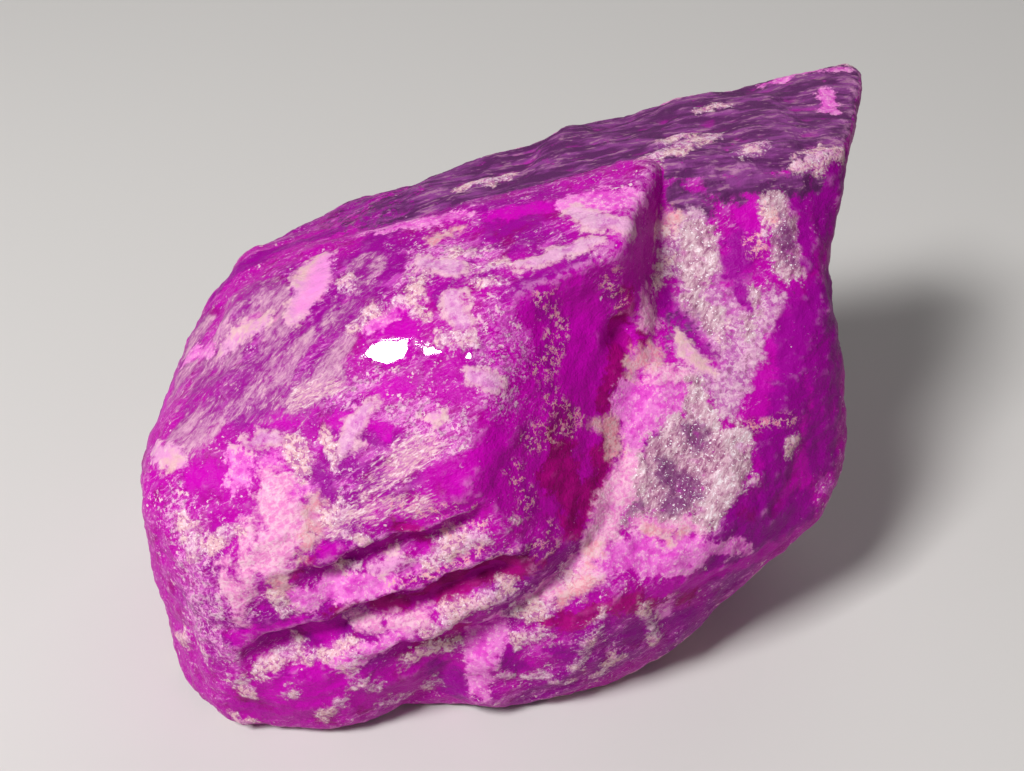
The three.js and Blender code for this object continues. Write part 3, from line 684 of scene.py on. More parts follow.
        "foot right end": [(5.3, -11.7, 3.7, 0.3), (4.5, -11.6, 2.4, 0.2)],
        "knob foot": [(7.7, 0.1, 21.1, 0.5), (7.5, -0.6, 20.2, 0.4), (7.2, -1.5, 19.5, 0.2)],
        "crest b": [(-1.1, -3.7, 22, 0.3), (-0.5, -3.7, 22.2, 0.3)],
        "crest d": [(-4.4, -3.6, 21.2, 0.25), (-4.6, -4.8, 20.8, 0.2)],
        "crest e": [(-2.7, -2.1, 21.8, 0.25), (-2, -2.6, 21.9, 0.2)],
        "crest f": [(-1.5, -4.8, 21.7, 0.2), (-0.6, -4.8, 22, 0.15)],
        "rim of the lobe": [
            (-7.5, -5.4, 19.6, 0.15), (-6.6, -4.6, 20.2, 0.2),
            (-5.3, -4.7, 20.6, 0.2), (-4.4, -5.6, 20.5, 0.3),
        ],
        "brink": [(-3.1, -7.1, 20.2, 0.3), (-1.9, -7.5, 20.2, 0.3)],
        "edge of the triangle": [(6.5, -11.7, 7.5, 0.2), (6.9, -11.3, 5.8, 0.2), (7.3, -10.9, 4.2, 0.15)],
        "fleck of the grain": [(10.3, -3.3, 17.7, 0.25), (10.8, -3.1, 17.9, 0.2)],
        "beside the oval": [(-8.1, -2.1, 20.2, 0.25), (-7.7, -3, 20.2, 0.2)],
        "left spots": [(-15.4, -11.3, 13.2, 0.25), (-15, -12, 12.6, 0.3), (-14.9, -12.6, 11.8, 0.25)],
        "left strand": [(-14.2, -12.7, 12.2, 0.24), (-13.4, -12.5, 13, 0.24), (-12.6, -12.4, 13.5, 0.14)],
        "low left": [(-16.8, -11.1, 4.3, 0.3), (-16.2, -11.8, 5.5, 0.3)],
        "lower left": [(-14.9, -13.2, 5.2, 0.3), (-15.1, -13, 5.4, 0.3)],
        "foot left": [(-13.3, -14, 4.5, 0.5), (-12.9, -14.1, 4, 0.4)],
        "foot left low": [(-13.7, -13.6, 1.3, 0.2), (-13.3, -13.6, 1, 0.2)],
        "foot a": [(-11, -14.2, 3.8, 0.2), (-10.8, -14.2, 4.1, 0.15)],
        "foot b": [(-9.3, -14.1, 2.4, 0.4), (-9, -14.1, 2.6, 0.3)],
        "foot c": [(-8.5, -14.1, 3, 0.3), (-8.4, -14.1, 3.3, 0.2)],
        "foot d": [(-7.7, -14, 4.3, 0.3), (-7.4, -14, 4.4, 0.3)],
        "foot e": [(-6.9, -13.9, 4, 0.3), (-6.7, -13.8, 4.1, 0.2)],
        "foot f": [(-4.3, -12.3, 2.4, 0.4), (-4, -12.3, 2.7, 0.3)],
        "foot g": [(-6.6, -13.6, 2.4, 0.15), (-5.2, -12.6, 2, 0.2)],
        "flank": [(14, -6, 13.2, 0.3), (13.8, -6.2, 13.2, 0.3)],
        "flank left": [(11.5, -8.2, 12.2, 0.15), (11.9, -8, 12.2, 0.15)],
        # painted reflection: this pale patch stands for the glare of a flat facet near the back of the
        # top
        "behind the crest": [(-2.7, 5, 21, 0.25), (-1.4, 5.5, 21.1, 0.5), (-0.2, 5.8, 21.2, 0.2)],
        "top streak": [(6.8, 3.2, 23.6, 0.4), (8.5, 4.4, 23.8, 0.6), (10.5, 5.8, 23.8, 0.3)],
        "top streak high": [(7.7, 5.3, 23.5, 0.4), (9.4, 6.2, 23.6, 0.2)],
        "top fleck": [(11.8, 3.6, 24.2, 0.4), (12.7, 3.9, 24.2, 0.2)],
        "top fleck high": [(10.3, 9.2, 23.5, 0.35), (11.3, 9.6, 23.6, 0.2)],
        "top edge": [(14, 2.4, 24, 0.2), (15, 2.8, 24, 0.4), (16.5, 3.4, 24.1, 0.2)],
        "strip edge": [(12.6, 1, 22.6, 0.15), (12.5, -0.3, 21, 0.15)],
    },
    "dusk": {  # dusky weathered skin below the edge of the top
        "over the edge": [(8, 1.4, 22.8, 0.7), (9.3, 0.9, 22.2, 0.7)],
        "over the edge right": [(10, 1.5, 23.2, 0.6), (14.5, 2, 23.3, 0.6)],
    },
    "gold": {  # golden fibres and crumbs
        "line on ledge A": [
            (-3.3, -12.3, 13.1, 0.15), (-1.5, -12.6, 13.8, 0.15),
            (0.1, -12.1, 13.8, 0.1),
        ],
        "thin beds": [(-5.3, -12.6, 15, 0.15), (-3.7, -12.9, 14.8, 0.15), (-1.9, -12.7, 15, 0.2)],
        "groove B": [
            (-5.7, -13.6, 10.7, 0.25), (-3.3, -13.2, 11.4, 0.25),
            (-1, -13, 12.4, 0.25), (1.8, -12, 11.7, 0.25),
        ],
        "scarp top": [(1.5, -5.5, 21.3, 0.5), (2.3, -5.7, 19.8, 0.5), (1.5, -7.5, 18.8, 0.5)],
        "scarp low": [(1.8, -8.2, 17.5, 0.6), (3, -8, 16.1, 0.5), (0.8, -9.7, 16.4, 0.5)],
        "scarp foot": [(0.1, -10.9, 15.6, 0.4), (0.8, -11.3, 14.1, 0.4)],
        "below the knob": [(4.7, -4.2, 21.9, 0.4), (5.1, -4, 20, 0.3)],
        "knob spot": [(7.6, 0.6, 21.6, 0.3), (7.8, 0.8, 21.9, 0.3)],
        "edge of the strip": [(12.6, 1.2, 22.8, 0.15), (12.8, 0.4, 21.8, 0.2)],
        "below the horn": [(11.8, -0.1, 21.2, 0.3), (12.1, -0.4, 20.8, 0.3)],
        "flank": [(11.7, -6.5, 14.5, 0.2), (13.8, -5.7, 14.4, 0.3)],
        "crease": [(1.5, -11.8, 12.4, 0.3), (1.8, -11.6, 12.4, 0.25)],
    },
}

# On the sides not described above, each kind covers about this share of the surface.
SHARES = {
    "hairs": 0.12,
    "mottled": 0.4,
    "clean": 0.3,
    "hot_and_painted_light": 0.12,
    "violet": 0.22,
    "deep_red_and_shade": 0.08,
    "pink": 0.08,
    "lilac": 0.05,
    "rosy": 0.05,
    "peach": 0.02,
    "silk": 0.02,
    "grain": 0.05,
    "white_grain": 0.02,
    "dark_grain": 0.02,
    "pale": 0.05,
    "mauve": 0.04,
    "oval_core": 0.0,
    "crust": 0.06,
    "dusk": 0.12,
    "gold": 0.08,
}
PATCH_EDGE = 0.45  # half the width over which a patch's mask falls from 1 to 0
PATCH_SPREAD = 0.13  # how far a patch's edge is beyond its half width
WANDER = 0.35  # how far the edges of the patches wander
WANDER_SEEDS = (1, 2, 3)
SCATTER_SEED = 20  # seed of the first kind's scattered patches


def depth_in(p, line):
    """How far inside a patch each point is, in millimetres."""
    deepest = np.full(len(p), -np.inf)
    for start, end in zip(np.array(line[:-1]), np.array(line[1:])):
        along = (end - start)[:3]
        share = np.clip((p - start[:3]) @ along / (along @ along), 0, 1)
        apart = np.linalg.norm(p - start[:3] - share[:, None] * along, axis=1)
        deepest = np.maximum(deepest, start[3] + share * (end[3] - start[3]) - apart)
    return deepest


def painted(p, unseen):
    """A mask for each kind of patch: 1 inside a patch, half on its edge and 0 outside."""
    wander = np.stack([fractal(p, 0.7, 4, seed) for seed in WANDER_SEEDS], 1)
    q = p + WANDER * wander
    masks = {}
    for n, (kind, patches) in enumerate(PATCHES.items()):
        depth = np.max([depth_in(q, line) for line in patches.values()], axis=0)
        mask = np.clip(0.5 + 0.5 * (depth + PATCH_SPREAD) / PATCH_EDGE, 0, 1)
        if SHARES[kind]:
            level = fractal(stretched(p, STREAK, 1.8), 0.28, 2, SCATTER_SEED + n)
            cutoff = np.quantile(level, 1 - SHARES[kind])
            scattered = unseen * np.clip(0.5 + 3 * (level - cutoff), 0, 1)
            mask = np.maximum(mask, scattered)
        masks[kind] = mask
    return masks


# Low relief: the height in millimetres, the waves in a millimetre, the octaves and the seed.
LUMPS = (0.15, 0.35, 4, 11)
DIMPLES = (0.07, 1.0, 3, 12)
STREAKS = (0.08, 1.1, 3, 13)
FLAKES = (0.12, 1.0, 3, 14)
GRAINS = (0.09, 1.8, 2, 15)
BEDS = (0.12, 1.2, 2, 16)
GLINT_EDGE = (0.3, 1.0, 3, 17)  # the waver of a facet's edge, as a share of its size
SLAB_KINDS = ("crust", "pale", "mauve", "rosy")
SLAB_HEIGHT = 0.08

GLINT_FACING = np.array([-0.2, -0.655, 0.728])  # the way the small glossy facets face
GLINTS = (  # the centre of each, with its half width, half length and half height
    (-5.7, -7, 19.5, 1.45, 0.75, 0.75),
    (-3.6, -7.5, 19.8, 0.75, 0.35, 0.35),
    (-2, -8, 19.9, 0.3, 0.3, 0.3),
)
GLINT_CUT = 0.3  # the deepest a facet is cut, in millimetres


def bumps(p, height, scale, octaves, seed):
    """Fractal relief of a given height."""
    return height * fractal(p, scale, octaves, seed)


def zones_of(p, normals):
    """Masks that follow from the form: the weathered top, the scarp and the boss."""
    back, whole_boss, scarp = parts_of(p)
    boss_side = smooth_step(0.3, -0.3, np.maximum(whole_boss, scarp) - back)
    facing_up = smooth_step(0.7, 0.85, normals[:, 2]) * smooth_step(16, 18, p[:, 2])
    uneven = bumps(p, *GLINT_EDGE)
    glints = np.array(GLINTS)
    reaches = [np.linalg.norm((p - glint[:3]) / glint[3:], axis=1) + uneven for glint in glints]
    return {
        "gloss": smooth_step(1.2, 0.8, np.min(reaches, axis=0)),
        "top": facing_up * (1 - boss_side) * smooth_step(-14, -1, p[:, 0]),
        "scarp": boss_side * smooth_step(-0.25, 0.15, scarp - whole_boss),
        # height up the stone; the material uses it to set where the painted light on the scarp is
        # strongest
        "rise": smooth_step(11, 21, p[:, 2]),
        "boss": boss_side,
    }


def facet_depth(p, normals):
    """How far each point must move along its normal to lie in the plane of the nearest facet."""
    centres = np.array(GLINTS)[:, :3]
    nearest = np.argmin([np.linalg.norm(p - centre, axis=1) for centre in centres], axis=0)
    apart = ((p - centres[nearest]) * GLINT_FACING).sum(axis=1)
    leaning = np.maximum(normals @ GLINT_FACING, 0.5)
    return np.clip(-apart / leaning, -GLINT_CUT, GLINT_CUT)


def relief(p, normals, masks, zones):
    """The low relief of the skin, in millimetres outward."""
    _, y, z = p.T
    bedded = smooth_step(3, 5, z) * smooth_step(17, 15, z) * smooth_step(-10, -12, y)
    rough = np.maximum(masks["crust"], masks["grain"])
    plain = 1 - np.maximum(zones["scarp"], zones["top"])
    raised = np.max([masks[kind] for kind in SLAB_KINDS], axis=0)
    skin = bumps(p, *LUMPS) + bumps(p, *DIMPLES)
    skin += bumps(stretched(p, STREAK, 4), *STREAKS) * plain
    skin += bumps(stretched(p, TOP_GRAIN, 5), *FLAKES) * zones["top"]
    skin += bumps(p, *GRAINS) * rough
    skin += SLAB_HEIGHT * smooth_step(0.4, 0.6, raised)
    skin += bumps(stretched(p, BEDDING, 6), *BEDS) * bedded * zones["boss"] * plain
    return skin * (1 - zones["gloss"]) + facet_depth(p, normals) * zones["gloss"]


SETTLE_ROUNDS = 3  # rounds of evening out the net and moving it back to the surface
RIDGE_ROUNDS = 8  # rounds of smoothing that a ridge is measured against
RIDGE_GAIN = 3  # how fast the ridge mask grows with a ridge's height
BASE_FADE = 0.6  # height over which the relief sets in above the level it rests on
BOX_MARGIN = 0.02  # how far the relief may pass the solid's box, as a share of its side


def stone_mesh():
    knots, meshes = net_of(field_on_grid())
    for _ in range(SETTLE_ROUNDS):
        knots = knots + 0.5 * (neighbour_mean(knots, meshes) - knots)
        knots = settled(knots)
    normals = normals_of(knots, meshes)
    unseen = smooth_step(0.2, -0.1, normals @ TOWARD_FRONT)
    masks = painted(knots, unseen)
    zones = zones_of(knots, normals)
    off_flat = smooth_step(0, BASE_FADE, knots[:, 2])
    knots = knots + normals * (relief(knots, normals, masks, zones) * off_flat)[:, None]

    smoothed = knots
    for _ in range(RIDGE_ROUNDS):
        smoothed = neighbour_mean(smoothed, meshes)
    ridge = ((knots - smoothed) * normals).sum(axis=1)
    zones["ridge"] = np.clip(0.5 + RIDGE_GAIN * ridge, 0, 1)

    knots[:, 2] = np.maximum(knots[:, 2], 0)
    low, high = (np.array(corner) / MM + CENTRE for corner in CAD_BOX)
    margin = BOX_MARGIN * (high - low)
    knots = np.clip(knots, low - margin, high + margin)
    mesh = bpy.data.meshes.new("nodule")
    mesh.from_pydata(((knots - CENTRE) * MM).tolist(), [], meshes.tolist())
    mesh.shade_smooth()
    for name, values in {**masks, **zones}.items():
        layer = mesh.attributes.new(name, "FLOAT", "POINT")
        layer.data.foreach_set("value", values.astype(np.float32))
    return mesh


# ---- materials ----


class Shader:
    """A short way to write a material: each method adds one node and gives its output."""

    def __init__(self, name):
        self.material = bpy.data.materials.new(name)
        self.material.use_nodes = True
        self.tree = self.material.node_tree
        self.surface = self.tree.nodes["Principled BSDF"]

    def feed(self, socket, value):
        if isinstance(value, bpy.types.NodeSocket):
            self.tree.links.new(value, socket)
        else:
            socket.default_value = value

    def add(self, kind, output, inputs, **settings):
        node = self.tree.nodes.new(kind)
        for name, value in settings.items():
            setattr(node, name, value)
        for name, value in inputs.items():
            self.feed(node.inputs[name], value)
        return node.outputs[output]

    def place(self):
        """The place on the stone, in millimetres."""
        where = self.add("ShaderNodeTexCoord", "Object", {})
        inputs = {0: where, "Scale": 1 / MM}
        return self.add("ShaderNodeVectorMath", 0, inputs, operation="SCALE")

    def drawn_out(self, place, direction, amount):
        """A place squeezed along a direction, so that noise is drawn out along it."""
        along = Vector(direction).normalized()
        inputs = {0: place, 1: along}
        length = self.add("ShaderNodeVectorMath", "Value", inputs, operation="DOT_PRODUCT")
        shrink = self.times(length, -(1 - 1 / amount))
        step = self.add("ShaderNodeVectorMath", 0, {0: along, "Scale": shrink}, operation="SCALE")
        return self.add("ShaderNodeVectorMath", 0, {0: place, 1: step}, operation="ADD")

    def noise(self, place, scale, detail=3.0, roughness=0.55, distortion=0.0):
        inputs = {
            "Vector": place,
            "Scale": scale,
            "Detail": detail,
            "Roughness": roughness,
            "Distortion": distortion,
        }
        return self.add("ShaderNodeTexNoise", 0, inputs)

    def veins(self, place, scale, width):
        """Thin winding lines where a noise passes through its middle."""
        level = self.minus(self.noise(place, scale, 4, 0.6), 0.5)
        return self.ramp(self.math("ABSOLUTE", level), width, 0.0)

    def blend(self, *noises):
        """The weighted sum of noises."""
        total = 0.0
        for source, weight in noises:
            total = self.plus(total, self.times(source, weight))
        return total

    def attribute(self, name):
        return self.add("ShaderNodeAttribute", "Fac", {}, attribute_name=name)

    def math(self, operation, a, b=0.0):
        return self.add("ShaderNodeMath", 0, {0: a, 1: b}, operation=operation)

    def plus(self, a, b):
        return self.math("ADD", a, b)

    def minus(self, a, b):
        return self.math("SUBTRACT", a, b)

    def times(self, a, b):
        return self.math("MULTIPLY", a, b)

    def most(self, a, b):
        return self.math("MAXIMUM", a, b)

    def outside(self, mask, value):
        """A value where a mask is not."""
        return self.times(value, self.minus(1.0, mask))

    def ramp(self, value, low, high):
        """0 below low, 1 above high and smooth between."""
        inputs = {"Value": value, "From Min": low, "From Max": high}
        return self.add("ShaderNodeMapRange", 0, inputs, interpolation_type="SMOOTHSTEP")

    def mix(self, factor, a, b):
        inputs = {0: factor, 6: a, 7: b}
        return self.add("ShaderNodeMix", 2, inputs, data_type="RGBA")

    def ragged(self, name, noises, softness=0.12):
        """A painted mask with its edge broken up by noises, each with its strength."""
        mask = self.attribute(name)
        broken = mask
        for source, strength in noises:
            offset = self.times(self.minus(source, 0.5), strength)
            broken = self.plus(broken, offset)
        edge = self.ramp(broken, 0.5 - softness, 0.5 + softness)
        return self.times(edge, self.ramp(mask, 0.0, 0.2))

    def cover(self, tone, mask, strength, over):
        """A colour laid over another where a mask is."""
        return self.mix(self.times(mask, strength), tone, over)


def colour(red, green, blue):
    """A colour given as it looks on a screen, from 0 to 255, as linear light."""
    shares = [level / 255 for level in (red, green, blue)]
    linear = [((c + 0.055) / 1.055) ** 2.4 if c > 0.04 else c / 12.92 for c in shares]
    return (*linear, 1)


MAGENTA = colour(186, 6, 164)
VIOLET = colour(150, 6, 142)
# DEEP and CRIMSON serve as painted shade in the recess patches, and as the stone's own deeper red
# elsewhere
DEEP = colour(140, 2, 92)
CRIMSON = colour(172, 6, 120)
# HOT is also laid as painted light: on the upper scarp, in the hollows, in the notch and on the knob side
HOT = colour(198, 3, 176)
ORCHID = colour(204, 80, 188)
PINK = colour(222, 76, 196)
LIGHT_PINK = colour(240, 134, 216)
LILAC = colour(184, 96, 172)
LIGHT_LILAC = colour(218, 168, 198)
PALE = colour(230, 158, 208)
CREAM = colour(226, 182, 184)
MAUVE = colour(208, 128, 192)
LIGHT_MAUVE = colour(228, 176, 208)
ROSE = colour(232, 136, 196)
ROSY_WHITE = colour(244, 194, 214)
PEACH = colour(230, 154, 164)
WHITE = colour(240, 212, 220)
# painted highlight: near white laid on as glints and sheen on the grain, crust and silk
PAINTED_HIGHLIGHT = colour(252, 242, 246)
ROSE_GREY = colour(180, 96, 158)
GREY = colour(182, 134, 156)
LIGHT_GREY = colour(216, 182, 192)
SHADOW_GREY = colour(142, 86, 118)
DARK_GRAIN = colour(112, 46, 106)
HAIR_SHADE = colour(150, 34, 138)
HAIR = colour(218, 168, 192)
SILK_SHADE = colour(204, 132, 182)
GOLD = colour(244, 154, 170)
SHADOW = colour(104, 16, 92)
DUSK = colour(92, 37, 92)
DUSK_LIGHT = colour(138, 62, 136)
FLOOR = colour(212, 209, 206)

STONE_IOR = 1.3
SKIN_BUMP = 0.12  # height of the fine bumps all over, in millimetres
GRIT_BUMP = 0.05  # and of the grit on crust and grain
HAIR_BUMP = 0.035  # and of the crest's hairs


def stone_material():
    s = Shader("sugilite")
    place = s.place()
    along_top = s.drawn_out(place, TOP_GRAIN, 3.5)

    broad = s.noise(place, 0.16, 2)
    middle = s.noise(place, 0.8, 3, 0.6)
    fine = s.noise(place, 2.6, 3, 0.65)
    speck = s.noise(place, 7.0, 2, 0.7)
    grit = s.noise(place, 4.0, 2, 0.7, 0.5)
    streak = s.noise(s.drawn_out(place, STREAK, 3.0), 1.3, 3, 0.65)
    fibre = s.noise(s.drawn_out(place, STREAK, 3.2), 8.0, 2, 0.7, 0.5)
    band = s.noise(s.drawn_out(place, HAIRS, 3.0), 0.8, 2, 0.6)
    hair = s.noise(s.drawn_out(place, HAIRS, 3.2), 6.0, 3, 0.75, 0.6)
    flake = s.noise(along_top, 1.3, 3, 0.65)
    fine_flake = s.noise(along_top, 4.0, 2, 0.7)
    soft = s.blend((fine, 0.5), (middle, 0.5))

    # how the edges of a patch are broken up
    torn = [(middle, 1.5), (fine, 1.5), (speck, 0.5)]
    crumbly = [(middle, 1.4), (fine, 1.7), (speck, 0.6)]
    cloudy = [(middle, 2.0), (fine, 1.4), (speck, 0.5)]

    # clear stone: magenta with clouds of violet and deeper red, and clearer patches of each; some of
    # these patches are painted light and painted shade
    tone = s.mix(s.ramp(broad, 0.44, 0.6), MAGENTA, VIOLET)
    tone = s.cover(tone, s.ramp(middle, 0.5, 0.7), 0.6, DEEP)
    # painted light: hot magenta over the upper scarp, a face turned away from the key lamp, brightens it
    # as if it were lit
    painted_scarp_light = s.times(s.attribute("scarp"), s.ramp(s.attribute("rise"), 0.3, 0.8))
    tone = s.cover(tone, painted_scarp_light, 0.8, HOT)
    # violet patches; on the right flank they are painted shade
    violet = s.ragged("violet", cloudy, 0.3)
    tone = s.cover(tone, violet, 0.9, VIOLET)
    # hot magenta patches; in the notch and on the knob side they are painted light
    hot_and_painted_light = s.ragged("hot_and_painted_light", cloudy, 0.3)
    tone = s.cover(tone, hot_and_painted_light, 0.9, HOT)
    # dark crimson patches, partly painted shade in the notches, grooves, creases and under the sill
    deep_red_and_shade = s.ragged("deep_red_and_shade", torn, 0.2)
    tone = s.cover(tone, deep_red_and_shade, 0.9, s.mix(s.ramp(middle, 0.4, 0.6), DEEP, CRIMSON))

    # darker violet under the golden fibres
    wanted = s.attribute("gold")
    dark = s.times(s.ramp(wanted, 0.2, 0.8), s.ramp(middle, 0.4, 0.56))
    tone = s.cover(tone, dark, 0.6, VIOLET)

    # how thick the pale flecks are
    clear = s.most(s.ragged("clean", torn, 0.2), violet)
    clear = s.most(clear, s.most(hot_and_painted_light, deep_red_and_shade))
    density = s.plus(0.15, s.times(s.attribute("mottled"), 0.7))
    density = s.minus(density, s.times(clear, 0.9))
    density = s.minus(density, s.times(s.attribute("scarp"), 0.3))
    density = s.minus(density, s.times(wanted, 0.5))

    # orchid clouds, pale flecks and white fibres
    clouds = s.blend((streak, 0.5), (middle, 0.25), (fine, 0.25))
    cloud = s.ramp(s.plus(clouds, s.times(density, 0.13)), 0.52, 0.64)
    tone = s.cover(tone, cloud, 0.8, ORCHID)
    flecks = s.blend((hair, 0.35), (fine, 0.4), (speck, 0.25))
    fleck = s.ramp(s.plus(flecks, s.times(density, 0.10)), 0.57, 0.63)
    tone = s.cover(tone, fleck, 0.68, s.mix(s.ramp(fine, 0.42, 0.7), PALE, WHITE))
    strands = s.blend((fibre, 0.7), (streak, 0.3))
    strand = s.ramp(s.plus(strands, s.times(density, 0.08)), 0.57, 0.64)
    tone = s.cover(tone, strand, 0.4, PALE)

    # small cream spots
    spots = s.blend((s.noise(place, 1.7, 2, 0.6), 0.7), (speck, 0.3))
    spot = s.ramp(s.plus(spots, s.times(density, 0.04)), 0.645, 0.665)
    tone = s.cover(tone, spot, 0.8, s.mix(s.ramp(fine, 0.45, 0.6), WHITE, CREAM))

    # a fine light and dark texture
    textured = s.plus(0.3, s.times(s.attribute("mottled"), 0.7))
    textured = s.outside(clear, textured)
    weave = s.blend((fibre, 0.4), (speck, 0.6))
    tone = s.cover(tone, s.times(textured, s.ramp(weave, 0.5, 0.4)), 0.35, DEEP)
    tone = s.cover(tone, s.times(textured, s.ramp(weave, 0.52, 0.62)), 0.35, LIGHT_PINK)

    # thin dark cracks between the flecks
    cracks = s.times(s.veins(place, 1.1, 0.06), s.ramp(fine, 0.44, 0.54))
    cracks = s.times(cracks, textured)
    tone = s.cover(tone, cracks, 0.45, SHADOW)

    # the crest's hairs, in bands
    hairs = s.ragged("hairs", [(hair, 1.5), (band, 2.0), *cloudy], 0.5)
    combed = s.blend((hair, 0.4), (band, 0.4), (fine, 0.2))
    combed = s.mix(s.ramp(combed, 0.4, 0.64), HAIR_SHADE, HAIR)
    combed = s.cover(combed, s.ramp(s.blend((band, 0.7), (hair, 0.3)), 0.53, 0.43), 0.55, VIOLET)
    combed = s.cover(combed, s.ramp(s.blend((hair, 0.7), (speck, 0.3)), 0.57, 0.64), 0.5, CREAM)
    tone = s.cover(tone, hairs, 0.85, combed)

    # the weathered top: dusky violet with drawn-out flakes
    top = s.most(s.ragged("top", torn, 0.2), s.ragged("dusk", cloudy, 0.3))
    weathered = s.mix(s.ramp(flake, 0.42, 0.62), DUSK, DUSK_LIGHT)
    flakes = s.ramp(s.blend((flake, 0.4), (fine_flake, 0.6)), 0.54, 0.62)
    weathered = s.cover(weathered, flakes, 0.55, GREY)
    tone = s.mix(top, tone, weathered)

    # smooth patches
    lilac = s.ragged("lilac", cloudy, 0.3)
    silky = s.mix(s.ramp(soft, 0.4, 0.6), LILAC, LIGHT_LILAC)
    silky = s.cover(silky, s.ramp(grit, 0.52, 0.62), 0.6, WHITE)
    silky = s.cover(silky, s.ramp(grit, 0.44, 0.36), 0.6, SHADOW_GREY)
    tone = s.cover(tone, s.outside(violet, lilac), 0.85, silky)
    pink = s.ragged("pink", cloudy, 0.2)
    rose = s.mix(s.ramp(soft, 0.42, 0.58), PINK, LIGHT_PINK)
    rose = s.cover(rose, s.ramp(s.blend((fine, 0.4), (speck, 0.6)), 0.54, 0.6), 0.6, ROSY_WHITE)
    tone = s.cover(tone, pink, 0.9, rose)
    pale = s.ragged("pale", torn, 0.28)
    slab = s.mix(s.ramp(s.blend((middle, 0.6), (fine, 0.4)), 0.46, 0.6), PALE, CREAM)
    slab = s.cover(slab, s.ramp(fine, 0.54, 0.66), 0.35, WHITE)
    tone = s.cover(tone, pale, 0.9, slab)
    tone = s.cover(tone, s.ragged("oval_core", cloudy, 0.5), 0.75, LIGHT_PINK)
    mauve = s.ragged("mauve", torn, 0.25)
    slab = s.mix(s.ramp(soft, 0.42, 0.6), MAUVE, LIGHT_MAUVE)
    rim = s.ramp(s.plus(s.attribute("mauve"), s.minus(middle, 0.5)), 0.85, 0.6)
    slab = s.cover(slab, rim, 0.6, CREAM)
    slab = s.cover(slab, s.ramp(grit, 0.54, 0.64), 0.4, WHITE)
    tone = s.cover(tone, mauve, 0.85, slab)

    # grainy patches
    rosy = s.ragged("rosy", torn, 0.3)
    sugar = s.mix(s.ramp(s.blend((grit, 0.6), (middle, 0.4)), 0.42, 0.62), ROSE, ROSY_WHITE)
    sugar = s.cover(sugar, s.ramp(middle, 0.56, 0.7), 0.45, PINK)
    sugar = s.cover(sugar, s.ramp(fibre, 0.56, 0.64), 0.5, WHITE)
    tone = s.cover(tone, rosy, 0.88, sugar)
    peach = s.ragged("peach", torn, 0.3)
    tone = s.cover(tone, peach, 0.8, s.mix(s.ramp(grit, 0.42, 0.56), PEACH, CREAM))
    silk = s.ragged("silk", [(streak, 1.8), (fibre, 2.0)], 0.4)
    sheen = s.mix(s.ramp(fibre, 0.38, 0.58), SILK_SHADE, CREAM)
    # painted sheen on the brightest hairs
    sheen = s.cover(sheen, s.ramp(s.blend((fibre, 0.7), (streak, 0.3)), 0.54, 0.64), 0.6, PAINTED_HIGHLIGHT)
    tone = s.cover(tone, silk, 0.75, sheen)
    grain = s.ragged("grain", torn, 0.2)
    facets = s.noise(s.drawn_out(place, GRAIN, 2.2), 4.5, 3, 0.7, 0.4)
    facets = s.blend((facets, 0.75), (middle, 0.25))
    facets = s.plus(facets, s.times(s.ragged("white_grain", cloudy, 0.4), 0.06))
    sparkle = s.mix(s.ramp(facets, 0.38, 0.47), SHADOW_GREY, GREY)
    sparkle = s.mix(s.ramp(facets, 0.47, 0.57), sparkle, LIGHT_GREY)
    # painted glints on the grain's brightest facets
    sparkle = s.cover(sparkle, s.ramp(facets, 0.58, 0.68), 0.8, PAINTED_HIGHLIGHT)
    sparkle = s.cover(sparkle, s.ragged("dark_grain", cloudy, 0.35), 0.85, DARK_GRAIN)
    # painted glints on the grain's specks
    sparkle = s.mix(s.ramp(speck, 0.61, 0.66), sparkle, PAINTED_HIGHLIGHT)
    grain = s.outside(violet, grain)
    tone = s.cover(tone, grain, 0.9, sparkle)
    crust = s.ragged("crust", crumbly, 0.25)
    crumbs = s.mix(s.ramp(middle, 0.44, 0.56), LIGHT_LILAC, CREAM)
    crumbs = s.cover(crumbs, s.ramp(grit, 0.5, 0.4), 0.9, ROSE_GREY)
    crumbs = s.cover(crumbs, s.ramp(grit, 0.54, 0.62), 0.8, WHITE)
    # painted glints on the crust's specks
    crumbs = s.cover(crumbs, s.ramp(speck, 0.62, 0.66), 0.8, PAINTED_HIGHLIGHT)
    tone = s.cover(tone, crust, 0.88, crumbs)

    # golden fibres and crumbs
    fibres = s.veins(s.drawn_out(place, FIBRE, 1.8), 2.0, 0.045)
    fibres = s.times(fibres, s.ramp(fine, 0.46, 0.53))
    fibres = s.times(fibres, s.ramp(wanted, 0.2, 0.7))
    crumb = s.ramp(s.blend((fine, 0.65), (speck, 0.35)), 0.55, 0.58)
    crumb = s.times(crumb, s.ramp(wanted, 0.3, 0.7))
    gold = s.most(fibres, crumb)
    tone = s.cover(tone, gold, 0.8, s.mix(s.ramp(speck, 0.5, 0.6), GOLD, CREAM))

    # worn ridges are paler, and the hollows get painted light
    ridge = s.ramp(s.attribute("ridge"), 0.58, 0.85)
    # painted light: hot magenta in the hollows brightens recesses that lie in shade
    hollow = s.ramp(s.attribute("ridge"), 0.42, 0.2)
    worn = s.times(ridge, s.ramp(fine, 0.4, 0.6))
    tone = s.cover(tone, worn, 0.4, PALE)
    tone = s.cover(tone, hollow, 0.45, HOT)

    rough = s.most(crust, grain)
    flecked = s.most(fleck, s.times(top, 0.8))
    roughness = s.plus(0.3, s.times(fine, 0.2))
    roughness = s.plus(roughness, s.times(s.most(rough, flecked), 0.2))

    # a polished glint
    gloss = s.ragged("gloss", torn, 0.15)
    roughness = s.minus(roughness, s.times(gloss, 0.3))
    shine = s.plus(0.15, s.times(gloss, 1.1))
    s.feed(s.surface.inputs["Specular IOR Level"], shine)

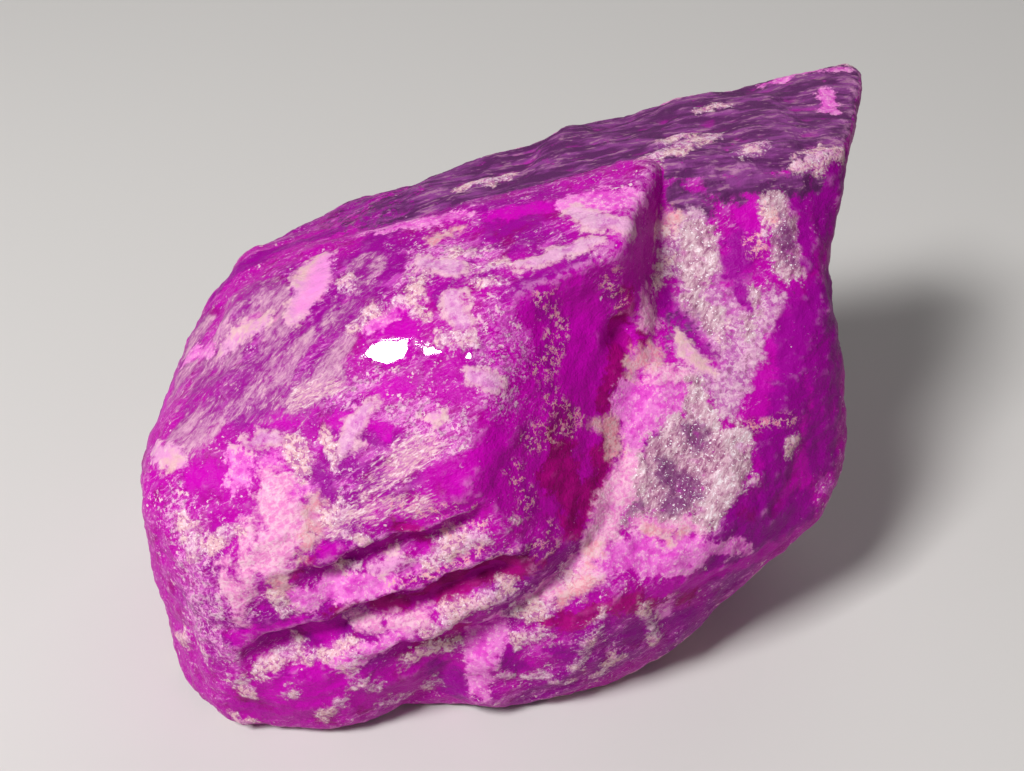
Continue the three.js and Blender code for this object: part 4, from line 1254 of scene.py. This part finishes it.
    # fine relief, in millimetres
    height = s.times(s.blend((fine, 0.7), (fibre, 0.3)), SKIN_BUMP)
    grainy = s.most(s.attribute("crust"), s.attribute("grain"))
    height = s.plus(height, s.times(s.times(grit, GRIT_BUMP), grainy))
    height = s.plus(height, s.times(s.times(hair, HAIR_BUMP), s.attribute("hairs")))
    height = s.outside(s.times(s.attribute("gloss"), 0.9), height)
    bump = s.add("ShaderNodeBump", "Normal", {"Strength": 1.0, "Distance": MM, "Height": height})

    s.feed(s.surface.inputs["Base Color"], tone)
    s.feed(s.surface.inputs["Roughness"], roughness)
    s.feed(s.surface.inputs["Normal"], bump)
    s.surface.inputs["IOR"].default_value = STONE_IOR
    return s.material


def floor_material():
    s = Shader("floor")
    s.surface.inputs["Base Color"].default_value = FLOOR
    s.surface.inputs["Roughness"].default_value = 0.8
    return s.material


# ---- camera, floor and light ----

TARGET = (np.array([0, 0, 12.0]) - CENTRE) * MM
ELEVATION = math.radians(38)
DISTANCE = 76 * MM
SENSOR_WIDTH = 36  # in millimetres, as the lens is
LENS = 50
FLOOR_HALF = 3.0  # in metres

# Each lamp: the way to it, how far it is and how wide, in metres, and its power in watts.
LAMPS = {
    "key": ((-0.45, -0.44, 0.78), 0.3, 0.08, 1.0),
    "fill": ((0.8, -0.6, 0.5), 0.4, 0.3, 0.07),
    "back": ((0.2, 0.9, 0.6), 0.4, 0.3, 0.3),
}
STUDIO_GLOW = 0.08


def make_camera():
    camera = bpy.data.objects.new("camera", bpy.data.cameras.new("camera"))
    back = Vector((0, -math.cos(ELEVATION), math.sin(ELEVATION)))
    camera.location = Vector(TARGET) + back * DISTANCE
    camera.rotation_euler = back.to_track_quat("Z", "Y").to_euler()
    camera.data.sensor_width = SENSOR_WIDTH
    camera.data.lens = LENS
    camera.data.clip_start = 0.002
    camera.data.clip_end = 20
    bpy.context.scene.collection.objects.link(camera)
    bpy.context.scene.camera = camera


def make_floor():
    mesh = bpy.data.meshes.new("floor")
    corners = [(-1, -1), (1, -1), (1, 1), (-1, 1)]
    mesh.from_pydata([(FLOOR_HALF * x, FLOOR_HALF * y, 0) for x, y in corners], [], [(0, 1, 2, 3)])
    mesh.materials.append(floor_material())
    floor = bpy.data.objects.new("floor", mesh)
    bpy.context.scene.collection.objects.link(floor)


def make_lamp(name, direction, distance, size, power):
    lamp = bpy.data.objects.new(name, bpy.data.lights.new(name, "AREA"))
    lamp.data.size = size
    lamp.data.energy = power
    out = Vector(direction).normalized()
    lamp.location = Vector(TARGET) + out * distance
    lamp.rotation_euler = out.to_track_quat("Z", "Y").to_euler()
    bpy.context.scene.collection.objects.link(lamp)


def make_light():
    for name, settings in LAMPS.items():
        make_lamp(name, *settings)
    world = bpy.data.worlds.new("studio")
    world.use_nodes = True
    background = world.node_tree.nodes["Background"]
    background.inputs["Color"].default_value = (1, 1, 1, 1)
    background.inputs["Strength"].default_value = STUDIO_GLOW
    bpy.context.scene.world = world
    bpy.context.scene.view_settings.view_transform = "Standard"


# ---- putting it together ----

make_camera()
make_floor()
make_light()

nodule = bpy.data.objects.new("nodule", stone_mesh())
nodule.data.materials.append(stone_material())
bpy.context.scene.collection.objects.link(nodule)
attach(nodule, "root")
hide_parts("sugilite_nodule")
